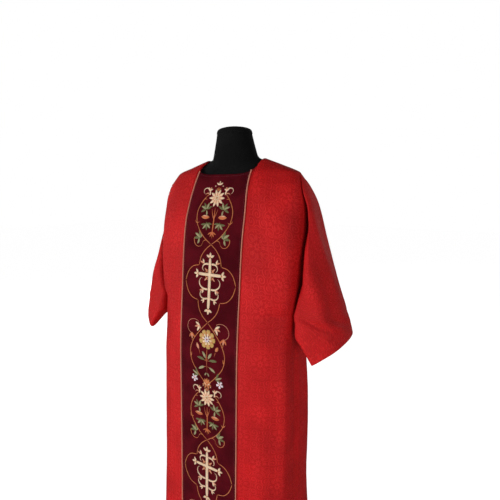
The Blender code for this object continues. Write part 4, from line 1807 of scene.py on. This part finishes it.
def half_drop(
    nodes: Nodes, across: object, up: object, width: object, height: object, squash: float
) -> tuple[NodeSocket, NodeSocket, NodeSocket]:
    """Places around the nearest point of a half-drop repeat.

    Args:
        nodes: the tree.
        across: place across the cloth, in metres.
        up: place up the cloth.
        width: width of the repeat.
        height: height of the repeat.
        squash: how much heights are drawn together.

    Returns:
        The distance from the point, the angle round it, and 1 where the point is one that is dropped by half.
    """
    m, times = nodes.maths, nodes.product
    across, up = m("DIVIDE", across, width), m("DIVIDE", up, height)
    found = []
    for drop in (0.0, 0.5):
        aside, above = (m("WRAP", m("SUBTRACT", place, drop), 0.5, -0.5) for place in (across, up))
        aside, above = times(aside, width), times(above, times(height, squash))
        reach = m("SQRT", m("ADD", times(aside, aside), times(above, above)))
        found.append((aside, above, reach))
    dropped = m("GREATER_THAN", found[0][2], found[1][2])
    aside, above, reach = (m("MULTIPLY_ADD", m("SUBTRACT", b, a), dropped, a) for a, b in zip(*found))
    return reach, m("ARCTAN2", above, aside), dropped


@dataclass(frozen=True)
class DamaskFigure:
    """The damask's figure: leafed medallions in scalloped rings, on a field of curls.

    Each pair is a soft step: the measure at which the mask is 0 and the one at which it is 1. The medallions
    stand in a half-drop repeat, and curls in a finer one between them, each turned against its neighbours.
    """

    width: float = 0.150
    height: float = 0.196
    size: float = 0.74
    squash: float = 0.86
    petals: float = 8.0
    petal_wave: float = 0.0029
    flower: Point2 = (0.0109, 0.0100)
    heart: Point2 = (0.0033, 0.0040)
    leaf_start: float = 0.0140
    leaf_length: float = 0.0215
    leaf_half_width: float = 0.0060
    leaf_narrowing: float = 0.0023
    leaf: Point2 = (0.0003, -0.0005)
    rib: Point2 = (0.0004, 0.0006)
    scallop_wave: float = 0.0022
    outer_ring: float = 0.0425
    outer: Point2 = (0.0014, 0.0007)
    inner_ring: float = 0.0461
    inner: Point2 = (0.0009, 0.0003)
    curl: float = 0.0098
    curl_shift: float = 8.0
    curl_columns: float = 3.0
    curl_rows: float = 4.0
    curl_swell: float = 0.35
    arm: Point2 = (0.25, 0.60)
    curl_reach: Point2 = (0.0235, 0.0225)
    ring_middle: float = 0.0443
    off_ring: Point2 = (0.0040, 0.0048)
    off_leaf: Point2 = (0.0016, 0.0022)
    past_leaves: Point2 = (0.0355, 0.0362)
    off_flower: Point2 = (0.0150, 0.0160)

    def build(self) -> NodeTree:
        """Builds the figure as a mask from 0 to 1.

        Returns:
            The group's tree.
        """
        sizes = {"Width": self.width, "Height": self.height, "Curl": self.curl, "Size": self.size}
        inputs = {"Cloth": (VECTOR, None), **{label: (NUMBER, size) for label, size in sizes.items()}}
        nodes, socket = node_group("damask figure", inputs, {"Figure": NUMBER})
        m, times, step = nodes.maths, nodes.product, nodes.between
        flat = nodes.add("ShaderNodeSeparateXYZ", {0: socket("Cloth")})
        across, up = (m("DIVIDE", flat.outputs[axis], socket("Size")) for axis in "XY")
        reach, angle, _ = half_drop(nodes, across, up, socket("Width"), socket("Height"), self.squash)
        petals = m("COSINE", times(angle, self.petals))
        flower = step(m("MULTIPLY_ADD", petals, -self.petal_wave, reach), *self.flower)
        flower = times(flower, step(reach, *self.heart))

        beside = times(reach, m("DIVIDE", m("ARCCOSINE", petals), self.petals))
        along = m("DIVIDE", m("SUBTRACT", reach, self.leaf_start), self.leaf_length)
        along = m("MINIMUM", m("MAXIMUM", along, 0.0), 1.0)
        half = m("MULTIPLY_ADD", along, -self.leaf_narrowing, self.leaf_half_width)
        margin = m("SUBTRACT", beside, times(m("SINE", times(along, math.pi)), half))
        leaf = times(step(margin, *self.leaf), step(beside, *self.rib))

        scallop = m("MULTIPLY_ADD", m("ABSOLUTE", petals), -self.scallop_wave, reach)
        outer = step(m("ABSOLUTE", m("SUBTRACT", scallop, self.outer_ring)), *self.outer)
        inner = step(m("ABSOLUTE", m("SUBTRACT", scallop, self.inner_ring)), *self.inner)

        shifted = m("ADD", across, m("DIVIDE", socket("Width"), self.curl_shift))
        small = m("DIVIDE", socket("Width"), self.curl_columns), m("DIVIDE", socket("Height"), self.curl_rows)
        near, turn, dropped = half_drop(nodes, shifted, up, *small, 1.0)
        arms = times(turn, m("MULTIPLY_ADD", dropped, 2.0, -1.0))
        arms = m("ADD", arms, m("DIVIDE", times(near, TURN), socket("Curl")))
        weight = m("MULTIPLY_ADD", m("COSINE", times(turn, 2.0)), self.curl_swell, m("SINE", arms))
        curls = times(step(weight, *self.arm), step(near, *self.curl_reach))
        clear = step(m("ABSOLUTE", m("SUBTRACT", scallop, self.ring_middle)), *self.off_ring)
        clear = times(clear, m("MAXIMUM", step(margin, *self.off_leaf), step(reach, *self.past_leaves)))
        curls = times(curls, times(clear, step(reach, *self.off_flower)))
        rings = m("MAXIMUM", outer, inner)
        socket("Figure", m("MAXIMUM", m("MAXIMUM", flower, leaf), m("MAXIMUM", curls, rings)))
        return nodes.tree


class Look(Nodes):
    """A material's nodes: its Principled shader and what feeds it."""

    def __init__(self, name: str, **values: object) -> None:
        """Makes the material.

        Args:
            name: the material's name.
            values: values of the shader's own sockets, with _ for a space.
        """
        self.material = bpy.data.materials.new(name)
        self.material.use_nodes = True
        super().__init__(self.material.node_tree)
        self.place = self.add("ShaderNodeTexCoord").outputs["Object"]
        self.set(**values)

    def set(self, **values: object) -> None:
        """Sets or feeds the shader's own sockets, with _ for a space in their names."""
        for label, value in values.items():
            self.feed(self.tree.nodes["Principled BSDF"].inputs[label.replace("_", " ")], value)

    def group(self, tree: NodeTree, **inputs: object) -> NodeSocket:
        """Places a shared node group and returns what it puts out."""
        return self.add("ShaderNodeGroup", inputs, node_tree=tree).outputs[0]

    def tone(self, mask: NodeSocket, low: Colour, high: Colour) -> NodeSocket:
        """Mixes two colours by a mask."""
        inputs = {0: mask, 6: (*low, 1.0), 7: (*high, 1.0)}
        return self.add("ShaderNodeMix", inputs, data_type="RGBA").outputs[2]

    def relief(self, height: NodeSocket, distance: float, strength: float) -> None:
        """Raises the surface by a height."""
        inputs = {"Height": height, "Distance": distance, "Strength": strength}
        self.set(Normal=self.add("ShaderNodeBump", inputs).outputs[0])


@dataclass(frozen=True)
class Groups:
    """The node groups that finishes share."""

    weave: NodeTree
    figure: NodeTree
    patches: NodeTree


@dataclass(frozen=True)
class Damask:
    """Red damask: a tone-on-tone figure on a plain woven ground, a little darker in patches."""

    ground: Colour = (0.452, 0.0068, 0.0080)
    figure: Colour = (0.582, 0.0130, 0.0140)
    shade: Colour = (0.80, 0.80, 0.80)
    patch_scale: float = 11.0
    roughness: float = 0.66
    figure_gloss: float = 0.10
    figure_height: float = 0.35
    bump: Point2 = (0.0004, 0.5)

    def build(self, groups: Groups) -> Material:
        """Builds the material.

        Args:
            groups: the shared node groups.

        Returns:
            The material.
        """
        look = Look("red damask", Sheen_Weight=0.10, Sheen_Roughness=0.4, Specular_IOR_Level=0.12)
        look.set(Sheen_Tint=(0.9, 0.05, 0.05, 1.0))
        cloth = look.add("ShaderNodeUVMap", uv_map="cloth").outputs[0]
        figure = look.group(groups.figure, Cloth=cloth)
        threads = look.group(groups.weave, Cloth=cloth)
        uneven = look.group(groups.patches, Place=look.place, Scale=self.patch_scale)
        colour = look.tone(figure, self.ground, self.figure)
        dim = look.tone(uneven, self.shade, WHITE_LIGHT)
        inputs = {0: 1.0, 6: colour, 7: dim}
        dimmed = look.add("ShaderNodeMix", inputs, data_type="RGBA", blend_type="MULTIPLY")
        rough = look.maths("MULTIPLY_ADD", figure, -self.figure_gloss, self.roughness)
        look.set(Base_Color=dimmed.outputs[2], Roughness=rough)
        look.relief(look.maths("MULTIPLY_ADD", figure, self.figure_height, threads), *self.bump)
        return look.material


@dataclass(frozen=True)
class Velvet:
    """Burgundy velvet: a short pile that lies unevenly."""

    deep: Colour = (0.045, 0.0018, 0.0044)
    light: Colour = (0.082, 0.0032, 0.0072)
    patch_scale: float = 16.0
    pile_scale: float = 1400.0
    bump: Point2 = (0.0005, 0.6)

    def build(self, groups: Groups) -> Material:
        """Builds the material.

        Args:
            groups: the shared node groups.

        Returns:
            The material.
        """
        look = Look("burgundy velvet", Roughness=0.85, Sheen_Weight=0.30, Sheen_Roughness=0.35)
        look.set(Specular_IOR_Level=0.03, Sheen_Tint=(0.50, 0.02, 0.06, 1.0))
        uneven = look.group(groups.patches, Place=look.place, Scale=self.patch_scale)
        look.set(Base_Color=look.tone(uneven, self.deep, self.light))
        look.relief(look.noise(look.place, self.pile_scale, 1.0), *self.bump)
        return look.material


@dataclass(frozen=True)
class Thread:
    """A lustrous thread that is stitched or twisted: fine ridges across its length, a pitch apart, with
    painted shade in the grooves between them.
    """

    name: str
    colour: Colour
    roughness: float = 0.42
    metallic: float = 0.0
    # dark is the share of the colour left in the painted shade of the grooves and in the darker random
    # specks.
    dark: float = 0.62
    pitch: float = 0.0009
    # The weight of the ridges in the colour: how much painted shade falls in the grooves between them.
    ridge_share: float = 0.35
    noise_share: float = 0.9
    noise_scale: float = 260.0
    bump: Point2 = (0.0003, 0.7)

    def build(self) -> Material:
        """Builds the material.

        Returns:
            The material.
        """
        look = Look(self.name, Roughness=self.roughness, Metallic=self.metallic)
        look.set(Sheen_Weight=0.15, Sheen_Roughness=0.4)
        thread = look.add("ShaderNodeUVMap", uv_map="thread").outputs[0]
        run = look.add("ShaderNodeSeparateXYZ", {0: thread}).outputs["X"]
        # The same ridge wave darkens the colour in the grooves between ridges: painted shade, mixed with
        # random tone.
        ridge = look.maths("MULTIPLY_ADD", look.maths("SINE", look.product(run, TURN / self.pitch)), 0.5, 0.5)
        uneven = look.product(look.noise(look.place, self.noise_scale, 2.0), self.noise_share)
        mask = look.maths("MULTIPLY_ADD", ridge, self.ridge_share, uneven)
        low = tuple(self.dark * part for part in self.colour)
        look.set(Base_Color=look.tone(mask, low, self.colour))
        look.relief(ridge, *self.bump)
        return look.material


@dataclass(frozen=True)
class Knit:
    """A black knitted cover: fine vertical ribs of loops."""

    dark: Colour = (0.0022, 0.0022, 0.0024)
    light: Colour = (0.0050, 0.0050, 0.0056)
    ribs: float = 150.0
    loops: float = 1300.0
    bump: Point2 = (0.0006, 0.5)

    def build(self, groups: Groups) -> Material:
        """Builds the material.

        Args:
            groups: the shared node groups.

        Returns:
            The material.
        """
        look = Look("black knit", Roughness=0.85, Sheen_Weight=0.02, Sheen_Roughness=0.5)
        look.set(Specular_IOR_Level=0.08)
        look.set(Base_Color=look.tone(look.group(groups.patches, Place=look.place), self.dark, self.light))
        x, y, z = look.add("ShaderNodeSeparateXYZ", {0: look.place}).outputs
        waves = (look.maths("ARCTAN2", x, y), self.ribs), (z, self.loops)
        rib, loop = (look.maths("ABSOLUTE", look.maths("SINE", look.product(*wave))) for wave in waves)
        look.relief(look.product(rib, loop), *self.bump)
        return look.material


@dataclass(frozen=True)
class PaintedMetal:
    """Satin black steel with slight wear."""

    paint: Colour = (0.010, 0.010, 0.011)
    worn: Colour = (0.028, 0.028, 0.030)
    patch_scale: float = 40.0
    roughness: float = 0.3
    wear_roughness: float = 0.15
    grain_scale: float = 900.0
    bump: Point2 = (0.0002, 0.25)

    def build(self, groups: Groups) -> Material:
        """Builds the material.

        Args:
            groups: the shared node groups.

        Returns:
            The material.
        """
        look = Look("black steel", Metallic=0.4, Coat_Weight=0.2)
        uneven = look.group(groups.patches, Place=look.place, Scale=self.patch_scale)
        rough = look.maths("MULTIPLY_ADD", uneven, self.wear_roughness, self.roughness)
        look.set(Base_Color=look.tone(uneven, self.paint, self.worn), Roughness=rough)
        look.relief(look.noise(look.place, self.grain_scale, 2.0), *self.bump)
        return look.material


# ---- Studio ----


@dataclass(frozen=True)
class SoftLight:
    """A square soft light that looks at a target."""

    name: str
    place: Point3
    target: Point3
    size: float
    power: float

    def build(self) -> None:
        """Adds the light."""
        data = bpy.data.lights.new(self.name, "AREA")
        data.shape = "SQUARE"
        data.size = self.size
        data.energy = self.power
        light = placed(self.name, data)
        light.location = self.place
        light.rotation_euler = (Vector(self.target) - light.location).to_track_quat("-Z", "Y").to_euler()


@dataclass
class Studio:
    """The camera, a pale floor and soft lights.

    The floor and the surround glow for the camera alone, which sees them white. To the object the surround
    dims from its level at the horizon to the zenith, between the two heights of fade.
    """

    camera_place: Point3 = (0.639, -1.0, 1.37)
    camera_tilt: float = -8.9
    camera_turn: float = 30.9
    lens: float = 27.36
    sensor: float = 36.0
    floor_half: float = 14.0
    floor_height: float = -0.0005
    floor_tone: Colour = (0.30, 0.30, 0.30)
    floor_glow: float = 0.94
    surround: float = 0.58
    zenith: float = 0.06
    fade: Point2 = (0.1, 0.8)
    lights: tuple[SoftLight, ...] = (
        SoftLight("key", (-2.35, -4.41, 0.45), (0.0, 0.0, 0.95), 1.7, 232.0),
        SoftLight("fill", (3.0, -2.6, 0.5), (0.1, 0.0, 0.95), 1.7, 76.0),
        SoftLight("back", (-3.7, 3.1, 1.3), (0.0, 0.0, 0.9), 1.2, 150.0),
    )

    def add_camera(self) -> None:
        """Adds the camera."""
        data = bpy.data.cameras.new("camera")
        data.lens = self.lens
        data.sensor_width = self.sensor
        camera = placed("camera", data)
        camera.location = self.camera_place
        camera.rotation_euler = (math.radians(90 + self.camera_tilt), 0.0, math.radians(self.camera_turn))
        bpy.context.scene.camera = camera

    def add_floor(self) -> None:
        """Adds the floor, just under the base."""
        corners = ((-1, -1), (1, -1), (1, 1), (-1, 1))
        points = [(x * self.floor_half, y * self.floor_half, self.floor_height) for x, y in corners]
        floor = mesh_piece("floor", np.array(points), [(0, 1, 2, 3)])
        look = Look("pale floor", Base_Color=(*self.floor_tone, 1.0), Roughness=0.9, Specular_IOR_Level=0.0)
        seen = look.add("ShaderNodeLightPath").outputs["Is Camera Ray"]
        look.set(Emission_Color=(*WHITE_LIGHT, 1.0), Emission_Strength=look.product(seen, self.floor_glow))
        floor.data.materials.append(look.material)

    def add_world(self) -> None:
        """Adds the surround."""
        world = bpy.data.worlds.new("white")
        world.use_nodes = True
        nodes = Nodes(world.node_tree)
        seen = nodes.add("ShaderNodeLightPath").outputs["Is Camera Ray"]
        way = nodes.add("ShaderNodeSeparateXYZ", {0: nodes.add("ShaderNodeTexCoord").outputs["Generated"]})
        high = nodes.between(way.outputs["Z"], *self.fade)
        soft = nodes.maths("MULTIPLY_ADD", high, self.zenith - self.surround, self.surround)
        background = world.node_tree.nodes["Background"]
        nodes.feed(background.inputs["Color"], (*WHITE_LIGHT, 1.0))
        nodes.feed(background.inputs["Strength"], nodes.maths("MAXIMUM", seen, soft))
        bpy.context.scene.world = world

    def build(self) -> None:
        """Builds the studio."""
        bpy.context.scene.view_settings.view_transform = "Standard"
        self.add_camera()
        self.add_floor()
        self.add_world()
        for light in self.lights:
            light.build()


# ---- Making ----


def main() -> None:
    """Builds every piece in order."""
    logging.basicConfig(level=logging.INFO, format="%(name)s: %(message)s")
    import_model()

    groups = Groups(threads_group(), DamaskFigure().build(), patches_group())
    gold = Thread("gold cord", (0.66, 0.235, 0.150)).build()
    red_thread = Thread("red thread", (0.30, 0.0045, 0.0055)).build()
    wine_thread = Thread("wine thread", (0.13, 0.010, 0.018)).build()
    red = Damask().build(groups)

    cuts = (
        Cloth("front_panel", (0.715, 1.20), 0.78, ("form_torso",)),
        Cloth("back_panel", (0.718, 1.20), 0.77, ("form_torso",)),
        Cloth("sleeve_left", (0.85, 0.51), 0.18),
        Cloth("sleeve_right", (0.85, 0.51), 0.18),
    )
    front = BodyPanel(cuts[0], Side.FRONT, FRONT_NECK_DROP, FRONT_FOLDS, FRONT_CREASES)
    back = BodyPanel(cuts[1], Side.BACK, BACK_NECK_DROP, BACK_FOLDS, BACK_CREASES)
    sleeves = (Sleeve(cuts[2], 1, LEFT_SLEEVE_CREASES), Sleeve(cuts[3], -1, RIGHT_SLEEVE_CREASES))
    for cloth in (front, back, *sleeves):
        cloth.shape()
        cloth.build(red)

    on_front = ("front_panel_cloth",)
    velvet = ("velvet", "burgundy_velvet", ORPHREY_WALL, ORPHREY_EDGE_ROUND)
    orphrey = Orphrey(FrontMap(front), Cloth("orphrey", (0.195, 1.18), 0.228, on_front, *velvet))
    orphrey.build_band(Velvet().build(groups))
    for side, way in (("left", 1), ("right", -1)):
        orphrey.build_cord(way, f"{side}_cord", f"cord_{side}", gold)
    Embroidery(orphrey.front).build()

    hems = [front.hem_line(), back.hem_line(), back.neck_line(), *(sleeve.cuff_line() for sleeve in sleeves)]
    hem = Stitching("hem_stitches", "red_damask", 0.0062, 0.0040, 0.0008, 0.0006)
    seam = Stitching("orphrey_stitches", "burgundy_velvet", 0.0048, 0.0030, 0.0007, 0.0006)
    couching = Stitching("couching_stitches", "gold_cord", 0.0090, 0.0048, 0.0007, 0.0030, across=1.0)
    tree = stitch_tree()
    hem.build(tree, hems, red_thread)
    seam.build(tree, orphrey.sewn_lines(), wine_thread)
    couching.build(tree, orphrey.couched_lines(), gold)

    DressForm().build(Knit().build(groups), PaintedMetal().build(groups))
    Studio().build()


if __name__ == "__main__":
    main()
